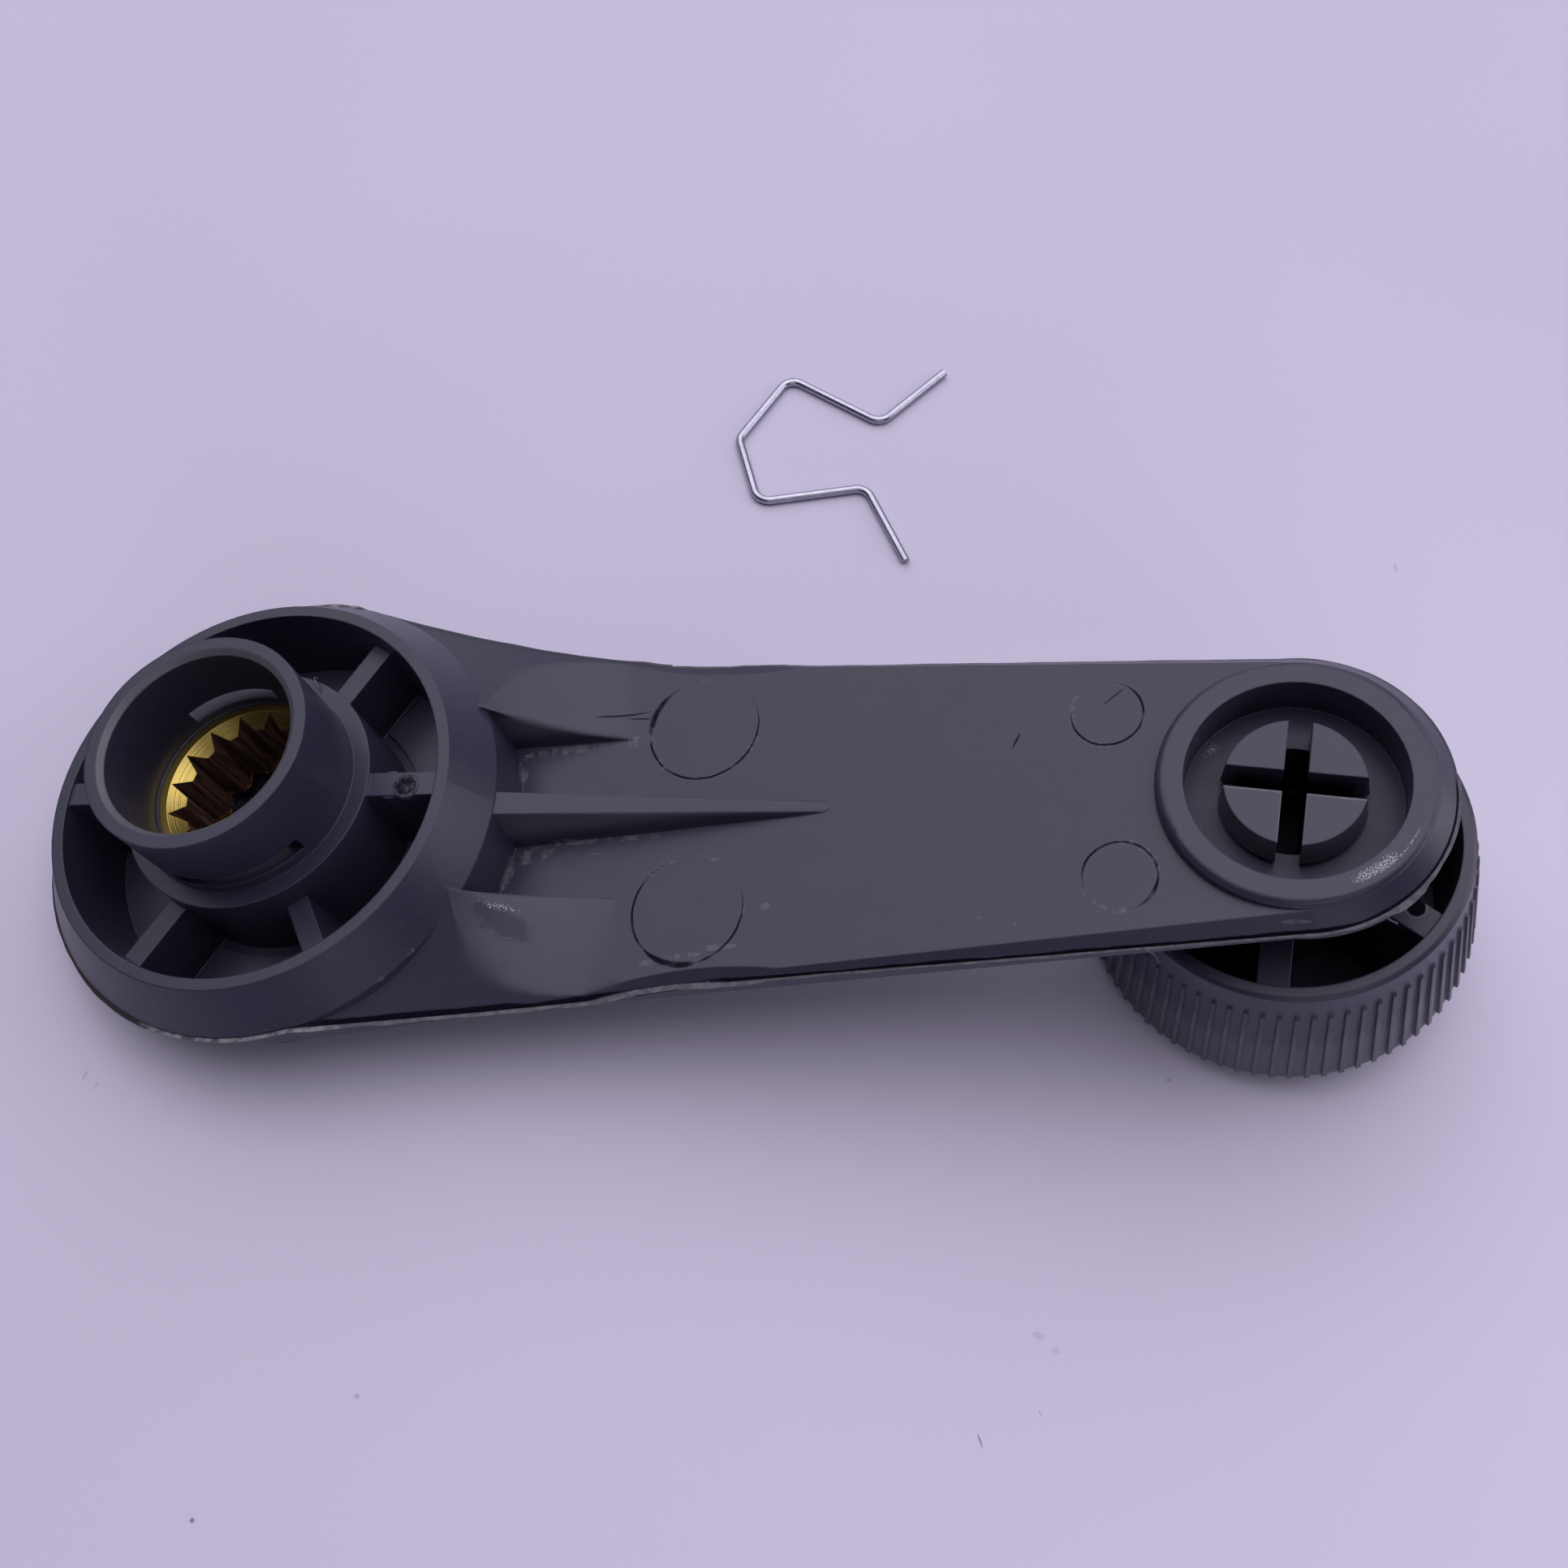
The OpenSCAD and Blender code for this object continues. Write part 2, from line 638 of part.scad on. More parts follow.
// The post that runs through the arm, with the barbed head that snaps over it.
module snap_post() {
    difference() {
        rotate_extrude() polygon([
            [0, knob_end_height + knob_floor - fuse], [post_radius, knob_end_height + knob_floor - fuse],
            [post_radius, post_top], [journal_radius, post_top], [journal_radius, head_base],
            [barb_radius - 0.3, head_base], [barb_radius, head_base + 0.4],
            [head_radius, head_height], [0, head_height]
        ]);
        for (turn = [0, 90]) rotate([0, 0, turn])
            translate([-barb_radius - 1, -cross_slot / 2, head_height - cross_depth])
                cube([2 * barb_radius + 2, cross_slot, cross_depth + 1]);
    }
}

module knob() {
    color(plastic) laid_down() at_knob() rotate([0, 0, knob_turn]) {
        knob_shell();
        ridges();
        knob_ribs();
        snap_post();
    }
}

// A bent wire through a list of corner points.
module bent_wire(points) {
    last = len(points) - 1;
    function heading(i) = atan2(points[i + 1].y - points[i].y, points[i + 1].x - points[i].x);
    function wrapped(a) = a > 180 ? a - 360 : a < -180 ? a + 360 : a;
    function turn(i) = i == 0 || i == last ? 0 : wrapped(heading(i) - heading(i - 1));
    function setback(i) = bend_radius * tan(abs(turn(i)) / 2);
    overlap = 0.08;
    for (i = [0 : last - 1]) translate([points[i].x, points[i].y, 0]) rotate([0, 0, heading(i)])
        translate([setback(i) - (i > 0 ? overlap : 0), 0, 0]) rotate([0, 90, 0])
            cylinder(norm(points[i + 1] - points[i]) - setback(i) - setback(i + 1)
                + (i > 0 ? overlap : 0) + (i < last - 1 ? overlap : 0), r = wire_radius, $fn = 48);
    for (i = [1 : last - 1]) translate([points[i].x, points[i].y, 0])
        rotate([0, 0, turn(i) > 0 ? heading(i - 1) : heading(i) + 180])
            translate([-setback(i), bend_radius, 0]) rotate([0, 0, -90])
                rotate_extrude(angle = abs(turn(i)), $fn = 96) translate([bend_radius, 0])
                    circle(wire_radius + bend_swell, $fn = 48);
}

module clip() {
    color(zinc) translate([clip_x, clip_y, bench + wire_radius]) rotate([0, 0, clip_turn]) bent_wire([
        [clip_mouth, clip_spread], [0, clip_neck], [-clip_shoulder, clip_half_width],
        [-clip_peak, clip_peak_shift], [-clip_shoulder, -clip_half_width], [0, -clip_neck],
        [clip_mouth, -clip_spread]
    ]);
}

arm();
insert();
knob();
clip();
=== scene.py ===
"""Window crank handle on a pale bench: looks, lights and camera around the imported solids."""

import math

import bmesh
import bpy
from mathutils import Matrix, Vector, noise
from mathutils.bvhtree import BVHTree


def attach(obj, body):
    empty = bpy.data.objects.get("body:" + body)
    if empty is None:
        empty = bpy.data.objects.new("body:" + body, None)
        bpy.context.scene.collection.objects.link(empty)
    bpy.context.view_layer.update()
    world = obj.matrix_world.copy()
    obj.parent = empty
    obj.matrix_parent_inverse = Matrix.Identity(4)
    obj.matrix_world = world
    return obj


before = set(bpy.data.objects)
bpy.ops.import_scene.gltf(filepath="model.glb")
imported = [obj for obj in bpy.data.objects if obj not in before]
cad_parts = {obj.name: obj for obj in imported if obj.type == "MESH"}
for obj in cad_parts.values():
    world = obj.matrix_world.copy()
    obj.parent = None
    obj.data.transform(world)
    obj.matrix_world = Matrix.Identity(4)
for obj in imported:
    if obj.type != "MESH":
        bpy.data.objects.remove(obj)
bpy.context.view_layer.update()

# The crank's own frame, in millimetres: z along the hub's axis, 0 at the knob end's lip, and x to the knob.
LIE = math.radians(12.188529)
BORE_MIDDLE = 9.85
KNOB_PLACE = 100.0
KNOB_AXIS = (KNOB_PLACE, 0.0, 0.0)
MM = 0.001
FLAT = (1.0, 1.0, 0.0)

# The arm's outline: the hub, the swept side, the straight side, and the round end at the knob.
HUB_RADIUS = 24.25
HUB_END = 4.6
SWEEP_CENTRE = (86.53, 427.58)
SWEEP_RADIUS = 412.0
SWEEP_END = 60.2
SIDE_TAPER = math.radians(3.66)
END_RADIUS = 13.75
END_START = KNOB_PLACE + 0.88

# The arm's flat back, and the parting line with its trim beside the hub.
BACK_SLOPE = math.tan(math.radians(3.78))
BACK_AT_HUB = -0.85 - KNOB_PLACE * BACK_SLOPE
PARTING_SLOPE = math.tan(math.radians(2.58))
PARTING_AT_KNOB = -2.63
PARTING_AT_HUB = -0.25
TRIM_START = 4.0
TRIM_END = 36.0
TRIM_CENTRE = (43.0, 58.0)
TRIM_RADIUS = 40.0
TRIM_BASE = -5.6
TRIM_LEAN = 1.9

# The shoulders' soft fold, between these distances from the hub's axis, and the pocket between the shoulders.
SHOULDER_FOOT = 25.2
FOLD_END = 42.0
FOLD_RADII = (0.22, 3.6)
POCKET_EDGE = 8.5
POCKET_HALF = 10.0
POCKET_MIDDLE = 41.0

# The sleeve: the near clip slot, where shade is painted, and the bevel at the mouth, where light is painted.
SLOT_RADII = (9.6, 11.12)
SLOT_MIDDLE = 6.6
SLOT_HALF = 0.9
SLOT_SIDE = -3.0
MOUTH_RADIUS = 9.98
MOUTH_FOOT = 14.3

# The knob end: the recess and its lip, the snap head with its cross slot, and the grip.
RECESS_RADIUS = 9.72
RECESS_TOP = -3.0
LIP_FOOT = -0.4
LIP_GLINT_RADIUS = 10.7
LIP_SCRATCH_RADIUS = 11.1
HEAD_TOP = -0.77
HEAD_FOOT = -4.7
HEAD_RADIUS = 6.7
HEAD_SKIRT_RADIUS = 6.15
CROSS_TURN = math.radians(8.4)
CROSS_HALF = 1.05
CROSS_REACH = 5.2
GRIP_RADIUS = 18.3
KNOB_HOLE = (110.78, -7.7, -11.82)

# The middle of the torn stub's mark, and the place of the stub itself.
STUB_MIDDLE = (16.95, -0.28, 0.0)
STUB_PLACE = (16.95, -0.30, 4.17)

# The bench's height in the scene, in metres, and the point that the lights aim at.
BENCH = -0.0204595
CRANK_MIDDLE = (0.06, 0.0, 0.0)

# Colours, as the linear values that a shader takes.
CHARCOAL = (0.0240, 0.0240, 0.0480, 1.0)
KNOB_CHARCOAL = (0.0270, 0.0260, 0.0500, 1.0)
# The tone where the grip is widest.
GRIP_WIDE_TONE = (0.078, 0.073, 0.102, 1.0)
HEAD_SKIRT = (0.062, 0.060, 0.085, 1.0)
# Painted light on the bevel at the sleeve's mouth.
MOUTH_LIGHT = (0.085, 0.085, 0.108, 1.0)
# Painted light on the upper part of the pocket's wall and the rib's near side.
WALL_LIGHT = (0.076, 0.078, 0.115, 1.0)
WHITENED = (0.105, 0.105, 0.140, 1.0)
GLINT_TONE = (0.42, 0.42, 0.48, 1.0)
SMUDGE_TONE = (0.010, 0.012, 0.028, 1.0)
# Painted shade in the sleeve's near clip slot.
SLOT_SHADE = (0.004, 0.004, 0.010, 1.0)
# Painted shade of the small hole in one of the knob's ribs.
HOLE_SHADE = (0.003, 0.003, 0.007, 1.0)
# Ejector lines and scratches, and painted shade in the groove above the flash and in the snap head's cross
# slot.
DARK_LINE_AND_SHADE = (0.002, 0.002, 0.006, 1.0)
STUB_TONE = (0.006, 0.006, 0.014, 1.0)
FLASH_DARK = (0.045, 0.045, 0.063, 1.0)
FLASH_GREY = (0.085, 0.085, 0.108, 1.0)
FLASH_WHITE = (0.20, 0.20, 0.24, 1.0)
# Painted shade on the flash at the hub's far left.
FLASH_SHADE = (0.017, 0.012, 0.014, 1.0)
SHEEN_TINT = (0.92, 0.87, 1.0, 1.0)
CLEAR = (1.0, 1.0, 1.0, 1.0)


def srgb(red, green, blue):
    """A colour given in the usual 0 to 255 steps, as the linear value that a shader takes."""
    def linear(v):
        v /= 255.0
        return v / 12.92 if v <= 0.04045 else ((v + 0.055) / 1.055) ** 2.4
    return (linear(red), linear(green), linear(blue), 1.0)


def to_row(x, y, z):
    """A point of the crank's own frame as a place in the scene, in metres."""
    return row_turn(x, y, z - BORE_MIDDLE) * MM


def row_turn(x, y, z):
    """A direction of the crank's own frame as one of the scene."""
    return Vector((x * math.cos(LIE) - z * math.sin(LIE), y, x * math.sin(LIE) + z * math.cos(LIE)))


def on_back(x, y):
    """A point on the arm's flat back."""
    return (x, y, BACK_AT_HUB + x * BACK_SLOPE)


def lighter(colour):
    """The same colour, one tenth lighter."""
    return tuple(c * 1.1 for c in colour[:3]) + (1.0,)


class Wiring:
    """Adds nodes to one tree and links them by socket.

    A node is always made after the nodes that feed it. The renderer runs them in that order and keeps every
    value that still waits for its reader, so in any other order the arm's large shader runs out of room and
    renders black.
    """

    def __init__(self, tree):
        self.tree = tree

    def node(self, kind, **values):
        made = self.tree.nodes.new(kind)
        for name, value in values.items():
            setattr(made, name, value)
        return made

    def link(self, source, target):
        self.tree.links.new(source, target)

    def feed(self, socket, value):
        if isinstance(value, bpy.types.NodeSocket):
            self.link(value, socket)
        else:
            socket.default_value = value

    def math(self, operation, first, second=0.5, clamp=False):
        made = self.node("ShaderNodeMath", operation=operation, use_clamp=clamp)
        self.feed(made.inputs[0], first)
        self.feed(made.inputs[1], second)
        return made.outputs[0]

    def vector(self, operation, first, second=(0.0, 0.0, 0.0)):
        made = self.node("ShaderNodeVectorMath", operation=operation)
        self.feed(made.inputs[0], first)
        if operation not in ("LENGTH", "ABSOLUTE", "NORMALIZE"):
            self.feed(made.inputs[1], second)
        return made.outputs["Value"] if operation in ("LENGTH", "DOT_PRODUCT") else made.outputs["Vector"]

    def parts(self, vector):
        made = self.node("ShaderNodeSeparateXYZ")
        self.link(vector, made.inputs[0])
        return made.outputs

    def joined(self, x, y, z):
        made = self.node("ShaderNodeCombineXYZ")
        for socket, value in zip(made.inputs, (x, y, z)):
            self.feed(socket, value)
        return made.outputs[0]

    def noise(self, place, scale, detail=2.0, rough=0.5, stretch=(1.0, 1.0, 1.0)):
        stretched = self.vector("MULTIPLY", place, stretch)
        made = self.node("ShaderNodeTexNoise")
        made.inputs["Scale"].default_value = scale
        made.inputs["Detail"].default_value = detail
        made.inputs["Roughness"].default_value = rough
        self.link(stretched, made.inputs["Vector"])
        return made.outputs["Fac"]

    def ramp(self, value, low, high, start=0.0, end=1.0):
        made = self.node("ShaderNodeMapRange", interpolation_type="SMOOTHSTEP")
        self.feed(made.inputs["Value"], value)
        self.feed(made.inputs["From Min"], low)
        self.feed(made.inputs["From Max"], high)
        self.feed(made.inputs["To Min"], start)
        self.feed(made.inputs["To Max"], end)
        return made.outputs["Result"]

    def pick(self, factor, first, second):
        made = self.node("ShaderNodeMix", data_type="FLOAT")
        self.feed(made.inputs[0], factor)
        self.feed(made.inputs[2], first)
        self.feed(made.inputs[3], second)
        return made.outputs[0]

    def blend(self, factor, first, second, mode="MIX"):
        made = self.node("ShaderNodeMix", data_type="RGBA", blend_type=mode)
        self.feed(made.inputs[0], factor)
        self.feed(made.inputs[6], first)
        self.feed(made.inputs[7], second)
        return made.outputs[2]

    def chain(self, operation, values):
        """Folds several values into one."""
        whole = values[0]
        for value in values[1:]:
            whole = self.math(operation, whole, value)
        return whole

    def product(self, *values):
        return self.chain("MULTIPLY", values)

    def most(self, *values):
        return self.chain("MAXIMUM", values)

    def least(self, *values):
        return self.chain("MINIMUM", values)

    def off(self, value, middle):
        """How far a value is from a middle one, either way."""
        return self.math("ABSOLUTE", self.math("SUBTRACT", value, middle))

    def level(self, place, middle=None):
        """The place across the hub's axis, or across a parallel axis through the middle, with z at 0."""
        if middle is not None:
            place = self.vector("SUBTRACT", place, middle)
        return self.vector("MULTIPLY", place, FLAT)

    def far(self, place, middle=None):
        """The distance from the hub's axis, or from a parallel axis through the middle."""
        return self.vector("LENGTH", self.level(place, middle))

    def group(self, tree, **values):
        made = self.node("ShaderNodeGroup", node_tree=tree)
        for name, value in values.items():
            self.feed(made.inputs[name.replace("_", " ")], value)
        return made.outputs


FLOAT, VECTOR = "NodeSocketFloat", "NodeSocketVector"


def new_group(name, inputs, outputs):
    """A shader node group with named sockets. Each input is (name, kind, value)."""
    tree = bpy.data.node_groups.new(name, "ShaderNodeTree")
    for label, kind, value in inputs:
        socket = tree.interface.new_socket(name=label, in_out="INPUT", socket_type=kind)
        socket.default_value = value
    for label, kind in outputs:
        tree.interface.new_socket(name=label, in_out="OUTPUT", socket_type=kind)
    wire = Wiring(tree)
    return tree, wire, wire.node("NodeGroupInput").outputs, wire.node("NodeGroupOutput").inputs


def crank_frame_group():
    """Puts out the place on the surface in the crank's own frame, in millimetres."""
    tree, wire, _, out = new_group("Crank frame", [], [("Place", VECTOR)])
    coords = wire.node("ShaderNodeTexCoord").outputs["Object"]
    turn = wire.node("ShaderNodeMapping", vector_type="POINT")
    turn.inputs["Scale"].default_value = (1000.0, 1000.0, 1000.0)
    turn.inputs["Rotation"].default_value = (0.0, LIE, 0.0)
    turn.inputs["Location"].default_value = (0.0, 0.0, BORE_MIDDLE)
    wire.link(coords, turn.inputs["Vector"])
    wire.link(turn.outputs["Vector"], out["Place"])
    return tree


def moulded_skin_group():
    """The faint texture of a moulded surface: soft grain, flow marks and a slightly uneven gloss."""
    tree, wire, given, out = new_group(
        "Moulded skin",
        [("Place", VECTOR, (0, 0, 0)), ("Grain", FLOAT, 1.0), ("Gloss", FLOAT, 0.45), ("Uneven", FLOAT, 0.08)],
        [("Height", FLOAT), ("Roughness", FLOAT), ("Tone", FLOAT)],
    )
    place = given["Place"]
    fine = wire.noise(place, 3.4, 3.0, 0.6)
    soft = wire.noise(place, 0.35, 2.0, 0.5)
    flow = wire.noise(place, 0.12, 3.0, 0.55, (0.35, 1.0, 1.0))
    height = wire.math("ADD", wire.product(fine, given["Grain"]), wire.product(soft, 1.6))
    wire.link(height, out["Height"])
    swing = wire.product(wire.math("SUBTRACT", wire.math("ADD", flow, soft), 1.0), given["Uneven"])
    wire.link(wire.math("ADD", given["Gloss"], swing, clamp=True), out["Roughness"])
    wire.link(wire.ramp(flow, 0.3, 0.7), out["Tone"])
    return tree


def dust_group():
    """A few pale specks, each about a tenth of a millimetre."""
    tree, wire, given, out = new_group(
        "Dust",
        [("Place", VECTOR, (0, 0, 0)), ("Spacing", FLOAT, 4.0)],
        [("Speck", FLOAT)],
    )
    scale = wire.math("DIVIDE", 1.0, given["Spacing"])
    cell = wire.node("ShaderNodeTexVoronoi")
    wire.link(scale, cell.inputs["Scale"])
    wire.link(given["Place"], cell.inputs["Vector"])
    far = wire.product(cell.outputs["Distance"], given["Spacing"])
    chance = wire.parts(cell.outputs["Color"])
    size = wire.ramp(chance[1], 0.0, 1.0, 0.05, 0.14)
    speck = wire.product(wire.math("LESS_THAN", far, size), wire.math("GREATER_THAN", chance[0], 0.55))
    wire.link(speck, out["Speck"])
    return tree


def round_mark_group():
    """The mark of an ejector pin: a dark line that comes and goes, the pale burr beside it, and the disc."""
    tree, wire, given, out = new_group(
        "Round mark",
        [("Place", VECTOR, (0, 0, 0)), ("Centre", VECTOR, (0, 0, 0)), ("Radius", FLOAT, 5.0),
         ("Darkest", VECTOR, (1, 0, 0)), ("Widest", VECTOR, (1, 0, 0))],
        [("Line", FLOAT), ("Burr", FLOAT), ("Disc", FLOAT)],
    )
    place = given["Place"]
    off = wire.vector("SUBTRACT", place, given["Centre"])
    flat = wire.vector("MULTIPLY", off, FLAT)
    radius = wire.math("ADD", wire.vector("LENGTH", flat), wire.product(wire.noise(place, 0.8), 0.12))
    level = wire.math("LESS_THAN", wire.math("ABSOLUTE", wire.parts(off)[2]), 0.8)
    gap = wire.off(radius, given["Radius"])

    way = wire.vector("NORMALIZE", flat)
    swing = wire.ramp(wire.vector("DOT_PRODUCT", way, given["Darkest"]), -0.95, 0.1, 0.15, 1.0)
    widest = wire.ramp(wire.vector("DOT_PRODUCT", way, given["Widest"]), 0.84, 1.0)
    width = wire.math("ADD", wire.product(swing, 0.15), wire.product(widest, 0.26))
    broken = wire.ramp(wire.noise(place, 0.5, 3.0), 0.32, 0.5, 0.35, 1.0)
    strength = wire.product(wire.most(swing, widest), broken)
    line = wire.ramp(gap, wire.product(width, 0.4), width, 1.0, 0.0)
    wire.link(wire.product(line, strength, level), out["Line"])

    torn = wire.product(wire.ramp(wire.noise(place, 1.6, 3.0), 0.46, 0.6), wire.ramp(gap, 0.1, 0.4, 1.0, 0.0))
    patches = wire.noise(wire.vector("ADD", place, (5.0, 3.0, 0.0)), 0.22)
    wire.link(wire.product(torn, wire.ramp(patches, 0.52, 0.6), level), out["Burr"])
    wire.link(wire.product(wire.math("LESS_THAN", radius, given["Radius"]), level), out["Disc"])
    return tree


def scrape_group():
    """A patch with soft edges on the surface, and the flakes and fine glints inside it."""
    tree, wire, given, out = new_group(
        "Scrape",
        [("Place", VECTOR, (0, 0, 0)), ("Centre", VECTOR, (0, 0, 0)), ("Reach", VECTOR, (1, 1, 1)),
         ("Turn", FLOAT, 0.0), ("Soft", FLOAT, 0.15)],
        [("Patch", FLOAT), ("Flakes", FLOAT), ("Glints", FLOAT)],
    )
    place = given["Place"]
    off = wire.vector("SUBTRACT", place, given["Centre"])
    angle = wire.product(given["Turn"], -1.0)
    turned = wire.node("ShaderNodeVectorRotate", rotation_type="Z_AXIS")
    wire.link(off, turned.inputs["Vector"])
    wire.link(angle, turned.inputs["Angle"])
    ragged = wire.product(wire.math("SUBTRACT", wire.noise(place, 0.9, 4.0, 0.6), 0.5), 1.1)
    share = wire.vector("LENGTH", wire.vector("DIVIDE", turned.outputs["Vector"], given["Reach"]))
    far = wire.math("ADD", share, ragged)

    patch = wire.ramp(far, wire.math("SUBTRACT", 1.0, given["Soft"]), 1.0, 1.0, 0.0)
    wire.link(patch, out["Patch"])
    flakes = wire.ramp(wire.noise(place, 0.9, 4.0, 0.65, (1.0, 0.6, 1.0)), 0.42, 0.6)
    wire.link(wire.product(patch, flakes), out["Flakes"])
    limit = wire.ramp(far, 0.0, 1.1, 0.50, 0.70)
    glints = wire.ramp(wire.noise(place, 8.0, 2.0), limit, wire.math("ADD", limit, 0.06))
    wire.link(wire.product(patch, glints), out["Glints"])
    return tree


def parting_group():
    """How far a place lies above the arm's parting line and inside the arm's outline, in millimetres."""
    tree, wire, given, out = new_group(
        "Parting",
        [("Place", VECTOR, (0, 0, 0))],
        [("Above", FLOAT), ("Inside", FLOAT)],
    )
    x, y, z = wire.parts(given["Place"])
    side = wire.math("ABSOLUTE", y)

    at_origin = PARTING_AT_KNOB - KNOB_PLACE * PARTING_SLOPE
    plane = wire.math("ADD", wire.product(x, PARTING_SLOPE), at_origin)
    reach = wire.math("POWER", wire.math("SUBTRACT", x, SWEEP_CENTRE[0]), 2.0)
    depth = wire.math("POWER", wire.math("SUBTRACT", SWEEP_RADIUS ** 2, reach), 0.5)
    edge = wire.math("SUBTRACT", SWEEP_CENTRE[1], depth)
    trim = wire.vector("LENGTH", wire.vector("SUBTRACT", wire.joined(x, edge, 0.0), (*TRIM_CENTRE, 0.0)))
    trim = wire.math("DIVIDE", wire.math("SUBTRACT", trim, TRIM_RADIUS), TRIM_LEAN)
    trim = wire.least(wire.math("ADD", trim, TRIM_BASE), PARTING_AT_HUB)
    line = wire.pick(wire.math("GREATER_THAN", x, TRIM_END), wire.most(plane, trim), plane)
    line = wire.pick(wire.math("LESS_THAN", x, TRIM_START), line, PARTING_AT_HUB)
    wire.link(wire.math("SUBTRACT", z, line), out["Above"])

    hub = wire.math("SUBTRACT", HUB_RADIUS, wire.far(given["Place"]))
    sweep = wire.vector("LENGTH", wire.vector("SUBTRACT", wire.joined(x, side, 0.0), (*SWEEP_CENTRE, 0.0)))
    sweep = wire.math("SUBTRACT", sweep, SWEEP_RADIUS)
    along = wire.product(wire.math("SUBTRACT", x, KNOB_PLACE), math.sin(SIDE_TAPER))
    across = wire.product(side, math.cos(SIDE_TAPER))
    straight = wire.math("SUBTRACT", END_RADIUS, wire.math("ADD", across, along))
    end = wire.vector("LENGTH", wire.vector("SUBTRACT", wire.joined(x, y, 0.0), KNOB_AXIS))
    end = wire.math("SUBTRACT", END_RADIUS, end)
    inside = wire.pick(wire.math("GREATER_THAN", x, HUB_END), hub, sweep)
    inside = wire.pick(wire.math("GREATER_THAN", x, SWEEP_END), inside, straight)
    inside = wire.pick(wire.math("GREATER_THAN", x, END_START), inside, end)
    wire.link(inside, out["Inside"])
    return tree


def material(name):
    """A new material with its node helper and its shader, wired to the output."""
    made = bpy.data.materials.new(name)
    made.use_nodes = True
    made.node_tree.nodes.clear()
    wire = Wiring(made.node_tree)
    shader = wire.node("ShaderNodeBsdfPrincipled")
    output = wire.node("ShaderNodeOutputMaterial")
    wire.link(shader.outputs["BSDF"], output.inputs["Surface"])
    return made, wire, shader


CRANK_FRAME = crank_frame_group()
MOULDED_SKIN = moulded_skin_group()
DUST = dust_group()
ROUND_MARK = round_mark_group()
SCRAPE = scrape_group()
PARTING = parting_group()

# Ejector marks on the back: middle, radius, and the ways to where the line is darkest and where it is widest.
NO_WAY = (0.0, 0.0, 1.0)
EJECTOR_MARKS = [
    (on_back(43.65, 9.9), 5.8, (-0.25, -0.97, 0), (-0.93, 0.36, 0)),
    (on_back(43.8, -9.9), 5.65, (-0.35, -0.94, 0), (-0.2, -0.98, 0)),
    (on_back(83.7, 8.3), 3.4, (0.5, -0.86, 0), NO_WAY),
    (on_back(84.5, -8.35), 3.4, (0.45, 0.9, 0), (0.73, -0.57, 0.0)),
]
# Torn and whitened spots: middle, half lengths, and turn in degrees.
SCRAPES = [
    (on_back(28.4, 8.35), (5.4, 0.5, 0.7), 4), (on_back(24.2, 5.9), (0.7, 2.2, 0.7), 0),
    (on_back(24.4, -5.3), (0.55, 2.0, 0.7), -14), (on_back(26.6, -3.4), (2.6, 0.9, 0.7), 12),
    (on_back(35.5, -2.05), (7.5, 0.32, 0.7), 2), (on_back(36.7, 8.9), (1.3, 0.7, 0.7), 20),
    (on_back(42.4, -14.9), (3.8, 0.42, 0.7), 8), (on_back(47.4, -13.85), (2.2, 0.3, 0.7), 4),
    (on_back(71.85, -11.54), (0.25, 0.8, 0.6), 20), (on_back(33.7, -3.5), (0.9, 0.16, 0.6), 2),
    (on_back(51.6, -9.9), (0.6, 0.35, 0.6), 15), ((15.7, -18.3, 0.06), (0.3, 0.5, 0.6), 0),
    ((18.3, -15.7, 0.13), (0.5, 0.35, 0.6), 30), ((27.4, -13.25, -3.1), (1.7, 0.16, 1.6), 4),
    ((99.3, -13.0, -1.65), (1.4, 0.14, 0.5), 0),
]
# Dark scratches, the glossy smudge and the two patches of glints, in the same terms.
SCRATCHES = [
    (on_back(34.6, 11.9), (3.6, 0.13, 1.2), 7), (on_back(36.6, 11.5), (1.6, 0.09, 1.0), -4),
    (on_back(75.2, 6.0), (0.12, 0.9, 0.6), -25), (on_back(84.4, 10.1), (1.3, 0.09, 0.6), 40),
]
SMUDGE = ((26.2, -11.9, -2.3), (4.3, 1.6, 3.4), -24)
SMUDGE_GLINT = ((26.0, -10.45, -1.7), (2.6, 0.45, 3.2), -6)
RECESS_GLINT = ((93.1, 5.5, -4.73), (1.6, 0.8, 0.7), 50)
# The ways from the knob's axis to the glints and to the scratch on the lip.
LIP_GLINT_WAY = (0.56, -0.828, 0.0)
LIP_SCRATCH_WAY = (0.74, -0.67, 0.0)


def set_skin(wire, shader, colour, roughness, height, strength=0.25, bevel=0.00022):
    """Feeds the shader. A bevel rounds edges in the shading by that radius in metres, a number or a socket."""
    wire.feed(shader.inputs["Base Color"], colour)
    wire.feed(shader.inputs["Roughness"], roughness)
    bump = wire.node("ShaderNodeBump")
    bump.inputs["Strength"].default_value = strength
    bump.inputs["Distance"].default_value = 0.00004
    wire.link(height, bump.inputs["Height"])
    if bevel:
        edge = wire.node("ShaderNodeBevel", samples=6)
        wire.feed(edge.inputs["Radius"], bevel)
        wire.link(edge.outputs["Normal"], bump.inputs["Normal"])
    wire.link(bump.outputs["Normal"], shader.inputs["Normal"])
    shader.inputs["IOR"].default_value = 1.47
    shader.inputs["Specular Tint"].default_value = SHEEN_TINT


def dusted(wire, place, tone):
    """The tone with pale specks of dust on it."""
    return wire.blend(wire.product(wire.group(DUST, Place=place)["Speck"], 0.6), tone, WHITENED)


